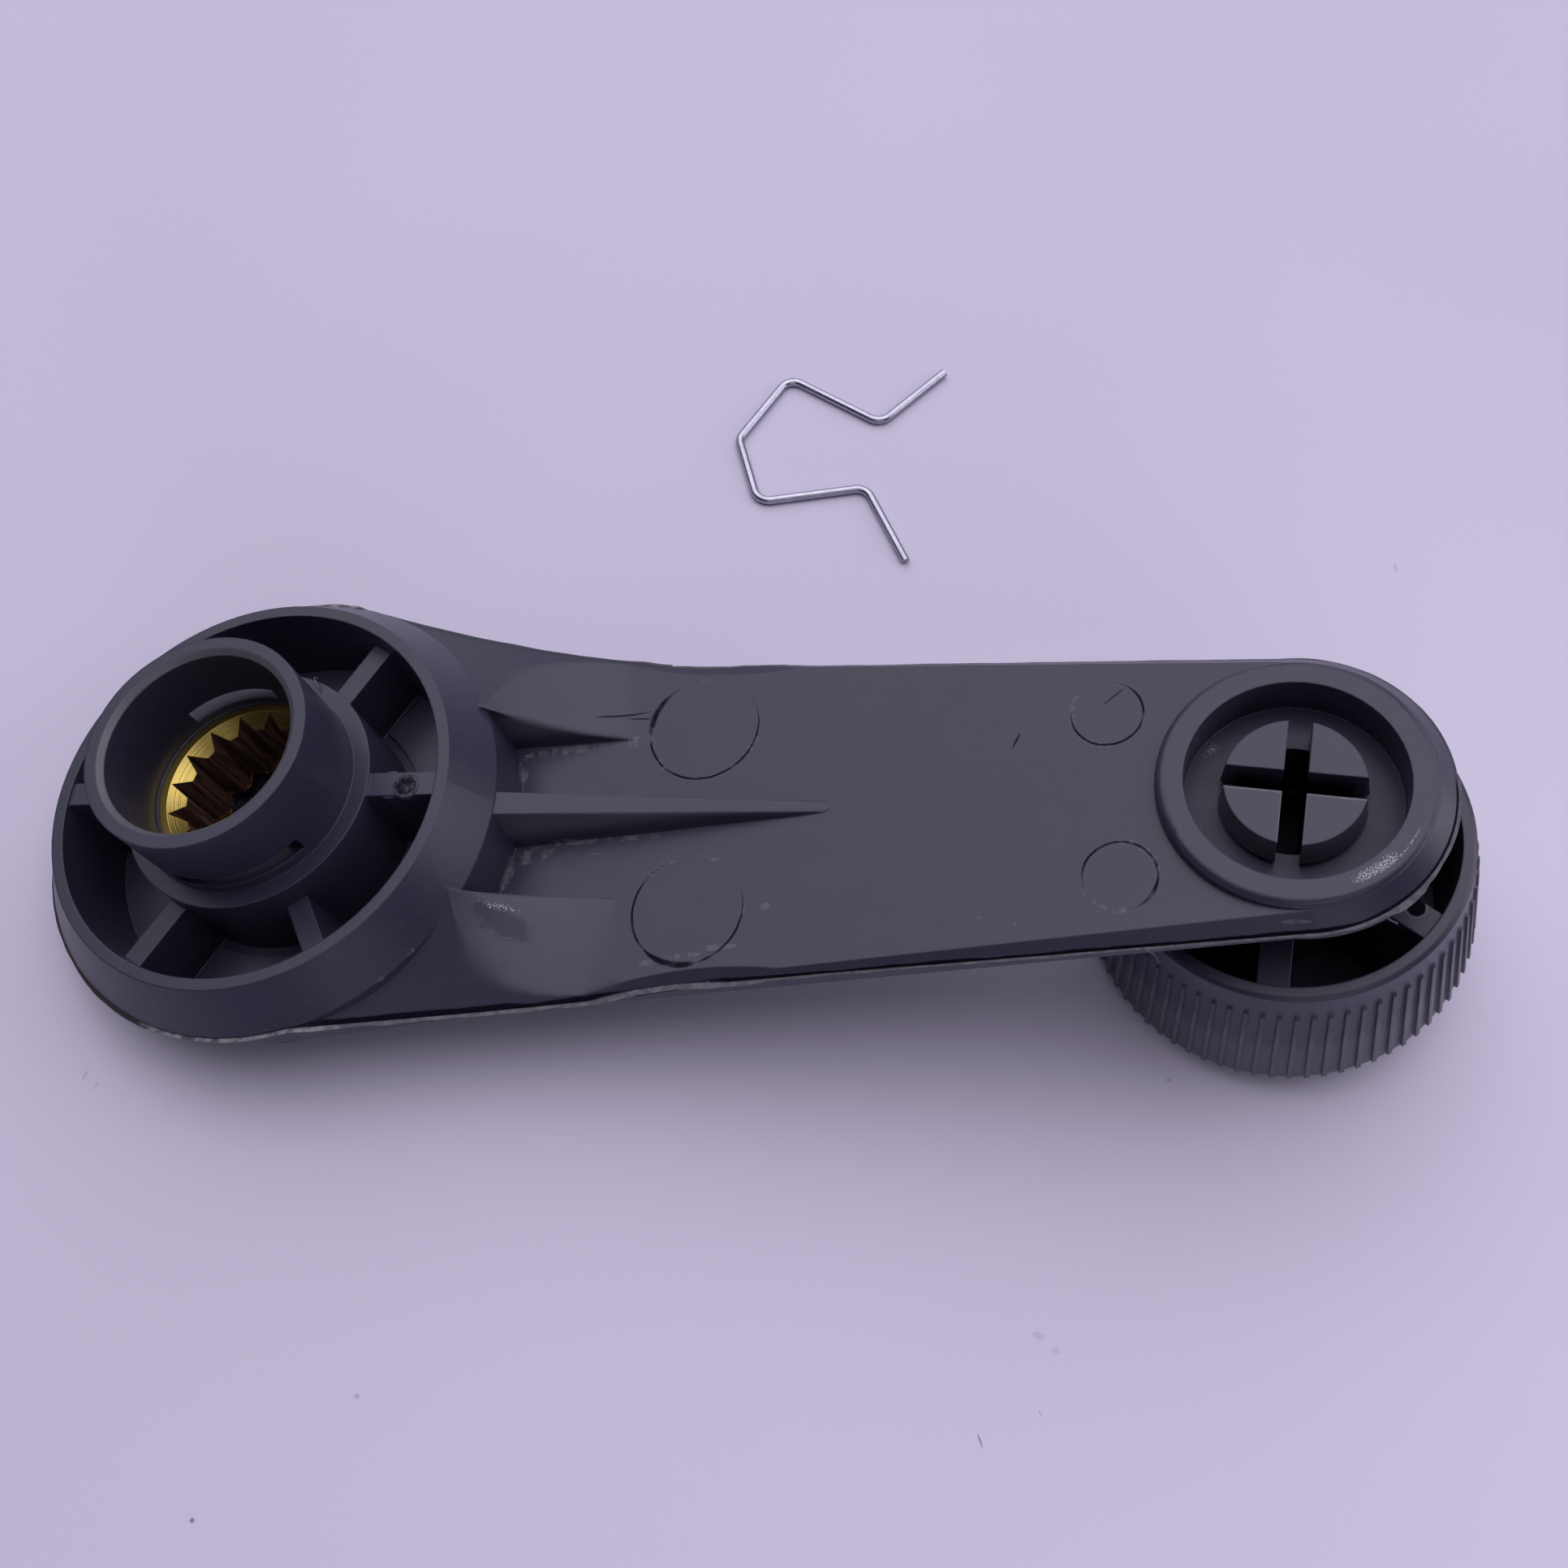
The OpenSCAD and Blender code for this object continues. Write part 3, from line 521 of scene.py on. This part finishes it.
def cross_slot(wire, place, off, far, z, tone):
    """Paints shade into the snap head's cross slot, darker deeper down, and pales its skirt and the ragged
    edges of its nearer quarters.
    """
    head = wire.product(wire.math("LESS_THAN", far, HEAD_RADIUS), wire.math("GREATER_THAN", z, HEAD_FOOT))
    below_top = wire.math("LESS_THAN", z, HEAD_TOP - 0.1)
    skirt = wire.product(head, below_top, wire.math("GREATER_THAN", far, HEAD_SKIRT_RADIUS))
    tone = wire.blend(skirt, tone, HEAD_SKIRT)

    turned = wire.node("ShaderNodeVectorRotate", rotation_type="Z_AXIS")
    wire.link(off, turned.inputs["Vector"])
    turned.inputs["Angle"].default_value = CROSS_TURN
    x, y, _ = wire.parts(turned.outputs["Vector"])
    across, towards = wire.math("ABSOLUTE", x), wire.product(y, -1.0)
    ragged = wire.product(wire.noise(place, 1.3, 3.0), 0.34)
    level_edge = wire.math("LESS_THAN", towards, wire.math("ADD", CROSS_HALF, ragged))
    upright_edge = wire.math("LESS_THAN", across, CROSS_HALF + 0.09)
    nearer = wire.math("GREATER_THAN", towards, CROSS_HALF - 0.02)
    on_top = wire.product(head, wire.math("GREATER_THAN", z, HEAD_TOP - 0.1))
    burr = wire.product(wire.most(level_edge, upright_edge), nearer, on_top)
    tone = wire.blend(wire.product(burr, 0.8), tone, WHITENED)

    # Painted shade inside the cross slot, darker with depth.
    cross_shade = wire.product(wire.math("LESS_THAN", far, CROSS_REACH), wire.ramp(z, -4.5, -1.4, 1.0, 0.0))
    return wire.blend(cross_shade, tone, DARK_LINE_AND_SHADE), cross_shade


def knob_hole(wire, place, tone):
    """Adds a painted hole in one of the knob's ribs: painted shade, with a whitened rim."""
    off = wire.vector("MULTIPLY", wire.vector("SUBTRACT", place, KNOB_HOLE), (1.0, 1.0, 0.6))
    far = wire.math("ADD", wire.vector("LENGTH", off), wire.product(wire.noise(place, 0.9), 0.3))
    rim = wire.product(wire.ramp(far, 1.02, 1.1), wire.ramp(far, 1.15, 1.3, 1.0, 0.0))
    # The hole is painted shade; the rim round it is whitened.
    hole_shade = wire.ramp(far, 0.95, 1.05, 1.0, 0.0)
    tone = wire.blend(wire.product(rim, 0.5), tone, WHITENED)
    return wire.blend(hole_shade, tone, HOLE_SHADE), hole_shade


def knob_plastic(name, colour, gloss):
    """Moulded plastic with the grip paler where it is widest, painted shade in the snap head's cross slot, and
    a painted hole in one rib.
    """
    made, wire, shader = material(name)
    place = wire.group(CRANK_FRAME)["Place"]
    skin = wire.group(MOULDED_SKIN, Place=place, Gloss=gloss)
    tone = wire.blend(skin["Tone"], colour, lighter(colour))
    off = wire.level(place, KNOB_AXIS)
    far = wire.vector("LENGTH", off)
    # Paler where the grip is widest.
    tone = wire.blend(wire.ramp(far, GRIP_RADIUS - 0.5, GRIP_RADIUS), tone, GRIP_WIDE_TONE)
    tone, cross_shade = cross_slot(wire, place, off, far, wire.parts(place)[2], tone)
    tone, hole_shade = knob_hole(wire, place, tone)
    rough = wire.pick(hole_shade, skin["Roughness"], 0.9)
    set_skin(wire, shader, dusted(wire, place, tone), rough, skin["Height"])
    wire.link(wire.pick(wire.most(hole_shade, cross_shade), 0.5, 0.05), shader.inputs["Specular IOR Level"])
    return made


def scrape(wire, place, mark, **more):
    """One scrape, at a mark given as middle, half lengths and turn in degrees."""
    middle, reach, turn = mark
    return wire.group(SCRAPE, Place=place, Centre=middle, Reach=reach, Turn=math.radians(turn), **more)


def ejector_marks(wire, place):
    """The marks' dark line and pale burr, and the height of the turned discs inside them."""
    marks = [wire.group(ROUND_MARK, Place=place, Centre=middle, Radius=radius, Darkest=darkest, Widest=widest)
             for middle, radius, darkest, widest in EJECTOR_MARKS]
    line, burr, disc = (wire.most(*[mark[name] for mark in marks]) for name in ("Line", "Burr", "Disc"))
    turned = wire.noise(place, 1.6, 2.0, 0.5, (2.2, 0.35, 1.0))
    return line, burr, wire.product(disc, turned, 0.7)


def lip_sparks(wire, place, spot, off, far):
    """The glints and the fine scratch on the lip round the recess."""
    way = wire.vector("NORMALIZE", off)
    core = wire.ramp(wire.vector("DOT_PRODUCT", way, LIP_GLINT_WAY), 0.955, 0.998)
    core = wire.product(core, wire.ramp(wire.off(far, LIP_GLINT_RADIUS), 0.1, 0.9, 1.0, 0.0))
    limit = wire.ramp(core, 0.0, 1.0, 0.74, 0.51)
    sparks = wire.ramp(wire.noise(place, 8.0, 2.0), limit, wire.math("ADD", limit, 0.05))
    arc = wire.ramp(wire.vector("DOT_PRODUCT", way, LIP_SCRATCH_WAY), 0.96, 0.99)
    scratch = wire.ramp(wire.off(far, LIP_SCRATCH_RADIUS), 0.04, 0.10, 1.0, 0.0)
    scratch = wire.product(arc, scratch, wire.ramp(wire.noise(place, 3.0, 2.0), 0.42, 0.5))
    on_lip = wire.math("GREATER_THAN", spot[2], LIP_FOOT)
    return wire.product(wire.most(sparks, wire.product(scratch, 0.45)), on_lip)


def parting_groove_shade(wire, place, spot, parting):
    """The painted shade in the groove above the flash. Its width comes and goes, and it is faint on the far
    side.
    """
    along = wire.noise(place, 0.16, 3.0, 0.6, (1.0, 0.15, 0.15))
    top = wire.math("ADD", -0.02, wire.product(along, 0.50))
    foot = wire.ramp(parting["Above"], 0.0, 0.08)
    groove_shade = wire.product(foot, wire.ramp(parting["Above"], top, wire.math("ADD", top, 0.12), 1.0, 0.0))
    at_wall = wire.ramp(parting["Inside"], 0.55, 0.8, 1.0, 0.0)
    clear_of_hub = wire.ramp(spot[0], 2.0, 12.0)
    return wire.product(groove_shade, at_wall, clear_of_hub, wire.ramp(spot[1], -1.0, 1.0, 1.0, 0.15))


def clip_slot_shade(wire, spot, hub_far):
    """Marks the inside of the sleeve's near clip slot, where shade is painted."""
    inner, outer = SLOT_RADII
    in_wall = wire.product(wire.math("LESS_THAN", hub_far, outer), wire.math("GREATER_THAN", hub_far, inner))
    level = wire.math("LESS_THAN", wire.off(spot[2], SLOT_MIDDLE), SLOT_HALF)
    return wire.product(in_wall, level, wire.math("LESS_THAN", spot[1], SLOT_SIDE))


def pocket_wall_light(wire, spot):
    """Marks the pocket's far wall and the rib's near side, where light is painted, more towards their top."""
    lift = wire.math("SUBTRACT", spot[2], wire.math("ADD", wire.product(spot[0], BACK_SLOPE), BACK_AT_HUB))
    normal = wire.node("ShaderNodeTexCoord").outputs["Normal"]
    facing = wire.ramp(wire.parts(normal)[1], -0.9, -0.6, 1.0, 0.0)
    inside = wire.math("LESS_THAN", wire.math("ABSOLUTE", spot[1]), POCKET_HALF)
    near_middle = wire.ramp(wire.off(spot[0], POCKET_MIDDLE), 13.0, 22.0, 1.0, 0.0)
    return wire.product(facing, wire.ramp(lift, 0.7, 3.0), inside, near_middle)


def fold_radius(wire, spot, hub_far, inside):
    """The radius in metres that softens the shoulders' fold. It grows with the distance from crisp edges."""
    fold = wire.least(
        wire.math("SUBTRACT", hub_far, SHOULDER_FOOT),
        wire.math("SUBTRACT", FOLD_END, hub_far),
        wire.math("SUBTRACT", wire.math("ABSOLUTE", spot[1]), POCKET_EDGE),
        wire.math("SUBTRACT", inside, 0.2),
    )
    smallest, largest = FOLD_RADII
    return wire.product(wire.least(wire.most(fold, smallest), largest), MM)


def arm_plastic(name, colour, gloss):
    """Moulded plastic with all of the arm's marks, and with painted shade and painted light. The glints come
    last, over all other marks.
    """
    made, wire, shader = material(name)
    place = wire.group(CRANK_FRAME)["Place"]
    spot = wire.parts(place)
    skin = wire.group(MOULDED_SKIN, Place=place, Gloss=gloss)
    line, burr, disc_height = ejector_marks(wire, place)
    flakes = wire.most(*[scrape(wire, place, mark)["Flakes"] for mark in SCRAPES], burr)
    scratched = wire.most(*[scrape(wire, place, mark)["Patch"] for mark in SCRATCHES])
    smudge = scrape(wire, place, SMUDGE, Soft=0.45)["Patch"]
    smudge_glint = scrape(wire, place, SMUDGE_GLINT)["Glints"]
    recess_glint = scrape(wire, place, RECESS_GLINT)["Glints"]

    knob_off = wire.level(place, KNOB_AXIS)
    knob_far = wire.vector("LENGTH", knob_off)
    sparks = lip_sparks(wire, place, spot, knob_off, knob_far)
    glints = wire.most(smudge_glint, wire.product(recess_glint, 0.7), sparks)
    parting = wire.group(PARTING, Place=place)
    groove_shade = parting_groove_shade(wire, place, spot, parting)
    hub_far = wire.far(place)
    clip_shade = clip_slot_shade(wire, spot, hub_far)
    in_recess = wire.product(wire.math("LESS_THAN", knob_far, RECESS_RADIUS),
                             wire.math("LESS_THAN", spot[2], RECESS_TOP))
    # Painted light on the bevel at the sleeve's mouth.
    mouth_light = wire.product(wire.math("LESS_THAN", hub_far, MOUTH_RADIUS),
                         wire.math("GREATER_THAN", spot[2], MOUTH_FOOT))
    # Ejector lines and scratches, with the painted shade in the groove above the flash.
    dark = wire.most(wire.product(line, 0.85), wire.product(groove_shade, 0.92), wire.product(scratched, 0.6))

    tone = wire.blend(skin["Tone"], colour, lighter(colour))
    tone = wire.blend(wire.product(flakes, 0.75), tone, WHITENED)
    tone = wire.blend(wire.product(smudge, 0.5), tone, SMUDGE_TONE)
    # Painted shade in the groove and the clip slot, and painted light on the pocket's wall and the mouth's
    # bevel.
    tone = wire.blend(dark, tone, DARK_LINE_AND_SHADE)
    tone = wire.blend(pocket_wall_light(wire, spot), tone, WALL_LIGHT)
    tone = wire.blend(mouth_light, tone, MOUTH_LIGHT)
    tone = wire.blend(wire.product(clip_shade, 0.6), tone, SLOT_SHADE)
    tone = wire.blend(glints, tone, GLINT_TONE)
    rough = wire.pick(wire.product(smudge, 0.6), skin["Roughness"], 0.3)
    rough = wire.pick(flakes, wire.pick(dark, rough, 0.9), 0.62)
    height = wire.math("ADD", wire.math("ADD", skin["Height"], disc_height), wire.product(flakes, 1.4))
    height = wire.math("SUBTRACT", height, wire.product(dark, 2.5))
    fold = fold_radius(wire, spot, hub_far, parting["Inside"])
    set_skin(wire, shader, dusted(wire, place, tone), rough, height, 0.25, fold)

    shine = wire.math("SUBTRACT", 1.0, wire.most(dark, wire.product(smudge, 0.36)))
    dull = wire.most(wire.product(clip_shade, 0.75), wire.product(in_recess, 0.4))
    shine = wire.product(shine, wire.math("SUBTRACT", 1.0, dull), 0.5)
    wire.link(shine, shader.inputs["Specular IOR Level"])
    return made


def torn_flash():
    """Plastic torn thin: whitish beside the hub, and painted dark brown as shade on the hub's far left."""
    made, wire, shader = material("torn_flash")
    place = wire.group(CRANK_FRAME)["Place"]
    x = wire.parts(place)[0]
    skin = wire.group(MOULDED_SKIN, Place=place, Gloss=0.5)
    pale = wire.ramp(wire.noise(place, 1.1, 4.0, 0.65), 0.38, 0.62)
    whitish = wire.ramp(wire.math("ABSOLUTE", x), 8.0, 14.0, 1.0, 0.0)
    # Painted shade on the flash at the hub's far left.
    shaded_left = wire.ramp(x, -9.5, -7.5, 1.0, 0.0)
    tone = wire.blend(pale, FLASH_DARK, wire.blend(whitish, FLASH_GREY, FLASH_WHITE))
    tone = wire.blend(shaded_left, tone, FLASH_SHADE)
    set_skin(wire, shader, tone, wire.pick(shaded_left, skin["Roughness"], 0.75), pale, 0.6, 0.0)
    return made


def torn_stub():
    """The stub's torn end: dark and dull in the middle, with a swirl."""
    made, wire, shader = material("torn_stub")
    place = wire.group(CRANK_FRAME)["Place"]
    skin = wire.group(MOULDED_SKIN, Place=place, Gloss=0.42)
    swirl = wire.noise(place, 1.1, 3.0, 0.6)
    middle = wire.ramp(wire.math("ADD", wire.far(place, STUB_MIDDLE), swirl), 1.35, 1.75, 1.0, 0.0)
    dark = wire.product(middle, wire.ramp(swirl, 0.35, 0.5))
    tone = wire.blend(dark, CHARCOAL, STUB_TONE)
    height = wire.math("ADD", skin["Height"], wire.product(swirl, 14.0))
    set_skin(wire, shader, tone, wire.pick(dark, skin["Roughness"], 0.6), height, 0.8, 0.0)
    wire.link(wire.pick(dark, 0.5, 0.12), shader.inputs["Specular IOR Level"])
    return made


def turned_brass():
    """Bright turned brass on faces turned out of the hub, such as the ring's end face; the teeth's other faces
    painted dark brown as shade, and coppery burrs painted bright, partly as glints.
    """
    made, wire, shader = material("turned_brass")
    place = wire.group(CRANK_FRAME)["Place"]
    radius = wire.far(place)
    rings = wire.node("ShaderNodeTexNoise", noise_dimensions="1D")
    rings.inputs["Scale"].default_value = 9.0
    rings.inputs["Detail"].default_value = 2.0
    wire.link(radius, rings.inputs["W"])
    normal = wire.node("ShaderNodeTexCoord").outputs["Normal"]
    # Faces turned out of the hub show bright turned brass; the other faces get a dark brown that paints their
    # shade.
    up = wire.vector("DOT_PRODUCT", normal, (-math.sin(LIE), 0.0, math.cos(LIE)))
    # The burrs at the teeth's foot are painted bright copper, partly as glints.
    at_foot = wire.ramp(wire.parts(place)[2], -3.25, -3.6)
    burr = wire.product(at_foot, wire.ramp(wire.noise(place, 1.4, 2.0), 0.47, 0.53))
    bright = wire.most(wire.ramp(up, 0.45, 0.75), wire.product(burr, 0.35))

    turned_face = wire.blend(rings.outputs["Fac"], srgb(214, 188, 112), srgb(136, 110, 54))
    cut = wire.noise(place, 2.6, 2.0, 0.5, (1.0, 1.0, 0.06))
    flank_shade = wire.blend(wire.ramp(cut, 0.42, 0.58), srgb(112, 80, 70), srgb(66, 44, 40))
    tone = wire.blend(burr, wire.blend(bright, flank_shade, turned_face), srgb(226, 150, 84))
    tarnish = wire.ramp(wire.noise(place, 0.7), 0.3, 0.7, 0.34, 0.5)
    set_skin(wire, shader, tone, wire.pick(bright, tarnish, 0.30), rings.outputs["Fac"], 0.35, 0.0001)
    wire.link(wire.pick(bright, 0.1, 1.0), shader.inputs["Metallic"])
    shader.inputs["Specular Tint"].default_value = CLEAR
    return made


def zinc_wire():
    """Drawn wire with a thin, slightly bluish zinc plating."""
    made, wire, shader = material("zinc_wire")
    place = wire.group(CRANK_FRAME)["Place"]
    draw = wire.noise(place, 1.4, 3.0, 0.6)
    tone = wire.blend(draw, srgb(186, 184, 202), srgb(152, 150, 172))
    set_skin(wire, shader, tone, wire.ramp(draw, 0.3, 0.7, 0.24, 0.38), draw, 0.2, 0.0)
    shader.inputs["Metallic"].default_value = 1.0
    return made


ARM_PLASTIC = arm_plastic("arm_charcoal", CHARCOAL, 0.36)
KNOB_PLASTIC = knob_plastic("knob_charcoal", KNOB_CHARCOAL, 0.38)
FLASH = torn_flash()
TORN_STUB = torn_stub()
BRASS = turned_brass()
WIRE = zinc_wire()

for node, finish in {"arm": ARM_PLASTIC, "knob": KNOB_PLASTIC, "insert": BRASS, "clip": WIRE}.items():
    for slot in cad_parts[node].material_slots:
        slot.material = finish


def new_piece(name, form, finish):
    """A scene piece made of the bmesh, which is used up."""
    mesh = bpy.data.meshes.new(name)
    form.to_mesh(mesh)
    form.free()
    made = bpy.data.objects.new(name, mesh)
    bpy.context.collection.objects.link(made)
    made.data.materials.append(finish)
    return made


def ledge_height(x):
    """How high the flash runs at that x: along the parting line, and up over the trim beside the hub."""
    plane = PARTING_AT_KNOB - (KNOB_PLACE - x) * PARTING_SLOPE
    if x > TRIM_END:
        return plane - 0.06
    side = SWEEP_CENTRE[1] - math.sqrt(SWEEP_RADIUS ** 2 - (x - SWEEP_CENTRE[0]) ** 2)
    trim = TRIM_BASE + (math.hypot(x - TRIM_CENTRE[0], side - TRIM_CENTRE[1]) - TRIM_RADIUS) / TRIM_LEAN
    return max(plane, min(PARTING_AT_HUB, trim) if x > TRIM_START else PARTING_AT_HUB) - 0.06


# Where the flash at the knob end is torn and sags.
TORN_PLACE = 109.0
# Rays start this far from the hub's or the knob's axis, and the hub's part begins at this angle in degrees.
RAY_START = 40
HUB_TOUCH = 79


def ledge_rays():
    """Once round the arm from the hub's far side, as (start, way in, x of the edge that is met)."""
    for turn in range(HUB_TOUCH, 360 - HUB_TOUCH, 2):
        a = math.radians(turn)
        x, y = math.cos(a), math.sin(a)
        yield (RAY_START * x, RAY_START * y), (-x, -y), HUB_RADIUS * x
    for step in range(12, 200):
        yield (step / 2, -45.0), (0.0, 1.0), step / 2
    for turn in range(-90, 91, 3):
        a = math.radians(turn)
        x, y = math.cos(a), math.sin(a)
        yield (KNOB_PLACE + RAY_START * x, RAY_START * y), (-x, -y), KNOB_PLACE + END_RADIUS * x
    for step in range(199, 11, -1):
        yield (step / 2, 45.0), (0.0, -1.0), step / 2


def ledge_width(x, y):
    """How far the flash stands out there. It is torn wider at the knob end and frayed beside the hub."""
    ragged = noise.fractal(Vector((x * 0.30, y * 0.30, 3.0)), 1.0, 2.0, 4) * 0.14
    width = 0.24 + ragged * 0.6
    if y < 0:
        torn = noise.noise(Vector((x * 1.6, y * 1.6, 7.0)))
        width += math.exp(-((x - TORN_PLACE) / 1.6) ** 2) * (0.28 + 0.6 * torn)
    if x < 52:
        width += 0.16 + ragged * 0.4
    if x < -9:
        width = 0.40 + ragged * 0.7
    if y > 0 and x > 5:
        width *= 0.3
    return max(width, 0.03)


def flash_ledge():
    """The thin flash that stands out along the parting line, all round the arm."""
    wall = BVHTree.FromObject(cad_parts["arm"], bpy.context.evaluated_depsgraph_get())
    form = bmesh.new()
    inner, outer = [], []
    for start, way, x in ledge_rays():
        way_in = row_turn(way[0], way[1], 0.0)
        hit = wall.ray_cast(to_row(start[0], start[1], ledge_height(x)), way_in)[0]
        if hit is None:
            continue
        sag = noise.noise(Vector((hit.x * 260, hit.y * 260, 1.0))) * 0.10
        if x > 105 and hit.y < 0:
            sag -= 0.25 * math.exp(-((x - TORN_PLACE) / 1.4) ** 2)
        inner.append(form.verts.new(hit + way_in * 0.25 * MM))
        outer.append(hit + (row_turn(0, 0, sag) - way_in * ledge_width(x, hit.y / MM)) * MM)
    edges = [form.edges.new((a, b)) for a, b in zip(inner, inner[1:] + inner[:1])]
    made = bmesh.ops.extrude_edge_only(form, edges=edges)["geom"]
    place = {tuple(round(c, 9) for c in first.co): spot for first, spot in zip(inner, outer)}
    for vert in made:
        if isinstance(vert, bmesh.types.BMVert):
            vert.co = place[tuple(round(c, 9) for c in vert.co)]
    bmesh.ops.recalc_face_normals(form, faces=form.faces)
    ledge = new_piece("flash_ledge", form, FLASH)
    thick = ledge.modifiers.new("thickness", "SOLIDIFY")
    thick.thickness = 0.11 * MM
    thick.offset = 0.0
    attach(ledge, "crank")


flash_ledge()


def whisker(name, spots, radius=0.05):
    """A hair of flash or swarf left on an edge. The spots are in the crank's own frame."""
    data = bpy.data.curves.new(name, "CURVE")
    data.dimensions = "3D"
    data.bevel_depth = radius * MM
    data.bevel_resolution = 2
    data.use_fill_caps = True
    run = data.splines.new("BEZIER")
    run.bezier_points.add(len(spots) - 1)
    for point, spot in zip(run.bezier_points, spots):
        point.co = to_row(*spot)
        point.handle_left_type = point.handle_right_type = "AUTO"
    made = bpy.data.objects.new(name, data)
    bpy.context.collection.objects.link(made)
    data.materials.append(FLASH)
    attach(made, "crank")


whisker("flange_hair", [(4.9, 12.3, 4.7), (5.0, 11.9, 5.4), (5.4, 11.1, 5.2), (5.5, 10.3, 4.72)], 0.09)
whisker("edge_hair", [(86.0, -14.6, -3.3), (86.6, -14.9, -3.1), (87.3, -15.3, -3.4), (87.7, -15.9, -3.8)])
whisker("end_hair", [(106.6, -12.0, -2.5), (106.9, -12.6, -2.3), (107.6, -12.9, -2.6)], 0.08)


def gate_stub():
    """The torn stub on the rib that points at the knob."""
    form = bmesh.new()
    bmesh.ops.create_cone(form, cap_ends=True, segments=40, radius1=1.42, radius2=1.34, depth=0.9)
    bmesh.ops.rotate(form, verts=form.verts, matrix=Matrix.Rotation(-LIE, 3, "Y"))
    bmesh.ops.scale(form, verts=form.verts, vec=(MM, MM, MM))
    bmesh.ops.translate(form, verts=form.verts, vec=to_row(*STUB_PLACE))
    stub = new_piece("gate_stub", form, TORN_STUB)
    edge = stub.modifiers.new("edge", "BEVEL")
    edge.width = 0.16 * MM
    edge.segments = 3
    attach(stub, "crank")


gate_stub()


# Specks on the bench: place in millimetres, half length, half width, turn in degrees, and how dark.
BENCH_SPECKS = [
    (5.8, -65.6, 0.28, 0.28, 0, 0.8), (76.4, -54.0, 0.75, 0.12, -68, 0.75),
    (-14.5, -26.0, 0.16, 0.6, -15, 0.28), (-13.1, -27.0, 0.14, 0.5, -30, 0.25),
    (81.8, -44.4, 0.75, 0.35, -8, 0.2), (83.4, -45.6, 0.5, 0.3, -20, 0.2),
    (81.9, -51.2, 0.35, 0.12, -60, 0.35), (18.6, -54.2, 0.35, 0.3, 0, 0.35),
    (94.9, -18.7, 0.4, 0.3, 0, 0.28), (124.0, 45.4, 0.3, 0.8, 10, 0.22),
]


def bench_speck(wire, place, speck):
    """One dark speck, as a mask."""
    x, y, length, width, turn, dark = speck
    patch = scrape(wire, place, ((x, y, 0.0), (length, width, 1.0), turn), Soft=0.4)["Patch"]
    return wire.product(patch, dark)


def lilac_bench():
    """Pale lilac board with a painted pool of light to the right of the knob, and dark specks."""
    made, wire, shader = material("lilac_bench")
    coords = wire.node("ShaderNodeTexCoord").outputs["Object"]
    tone = wire.blend(wire.noise(coords, 9.0, 2.0), srgb(192, 183, 212), srgb(202, 193, 223))
    # A painted pool of light: lighter near a point right of the knob, a little darker further off.
    far = wire.vector("LENGTH", wire.vector("SUBTRACT", coords, (0.16, -0.06, BENCH)))
    light_pool = wire.blend(wire.ramp(far, 0.02, 0.17), (1.09, 1.09, 1.09, 1.0), (0.965, 0.965, 0.965, 1.0))
    tone = wire.blend(1.0, tone, light_pool, "MULTIPLY")
    place = wire.vector("MULTIPLY", coords, (1000.0, 1000.0, 0.0))
    specks = wire.most(*[bench_speck(wire, place, speck) for speck in BENCH_SPECKS])
    wire.link(wire.blend(specks, tone, srgb(110, 102, 122)), shader.inputs["Base Color"])
    shader.inputs["Roughness"].default_value = 0.7
    shader.inputs["Specular IOR Level"].default_value = 0.15
    return made


def bench():
    form = bmesh.new()
    bmesh.ops.create_grid(form, x_segments=1, y_segments=1, size=1.2)
    bmesh.ops.translate(form, verts=form.verts, vec=(0.06, 0.3, BENCH))
    new_piece("bench", form, lilac_bench())


# Area lights: name, place, size in metres and power in watts. All are aimed at the crank's middle.
LIGHTS = [
    ("ceiling", (0.0, 0.55, 1.0), 2.3, 17.7), ("lamp", (0.3, 0.2, 1.0), 1.0, 2.0),
    ("window", (1.1, 0.15, 0.36), 0.8, 3.3), ("back_wall", (0.0, 1.2, 0.7), 1.5, 1.0),
    ("left_wall", (-0.5, 0.45, 0.85), 1.2, 1.3), ("front_wall", (0.35, -1.0, 0.6), 1.0, 2.3),
]


def area_light(name, place, size, power):
    data = bpy.data.lights.new(name, "AREA")
    data.shape = "DISK"
    data.size = size
    data.energy = power
    made = bpy.data.objects.new(name, data)
    bpy.context.collection.objects.link(made)
    made.location = place
    made.rotation_euler = (Vector(CRANK_MIDDLE) - Vector(place)).to_track_quat("-Z", "Y").to_euler()


def room_light(strength):
    """Faint light from all sides."""
    world = bpy.data.worlds.new("room")
    world.use_nodes = True
    back = world.node_tree.nodes["Background"]
    back.inputs["Color"].default_value = (0.95, 0.95, 1.0, 1.0)
    back.inputs["Strength"].default_value = strength
    bpy.context.scene.world = world


def photo_camera():
    """The camera, with the place, turn and lens that bring the crank's circles onto the photographed ones."""
    data = bpy.data.cameras.new("photo_camera")
    data.sensor_width = 36.0
    data.lens = 36.70
    data.clip_start = 0.005
    made = bpy.data.objects.new("photo_camera", data)
    bpy.context.collection.objects.link(made)
    ahead = Vector((-0.02774, 0.4402, -0.89749)).normalized()
    right = Vector((0.99757, 0.0699, 0.00339))
    right = (right - ahead * right.dot(ahead)).normalized()
    up = right.cross(ahead)
    turn = Matrix((right, up, -ahead)).transposed().to_4x4()
    made.matrix_world = Matrix.Translation((0.0586255, -0.065870, 0.1379062)) @ turn
    bpy.context.scene.camera = made


bench()
for light in LIGHTS:
    area_light(*light)
room_light(0.02)
photo_camera()
bpy.context.scene.view_settings.view_transform = "Standard"
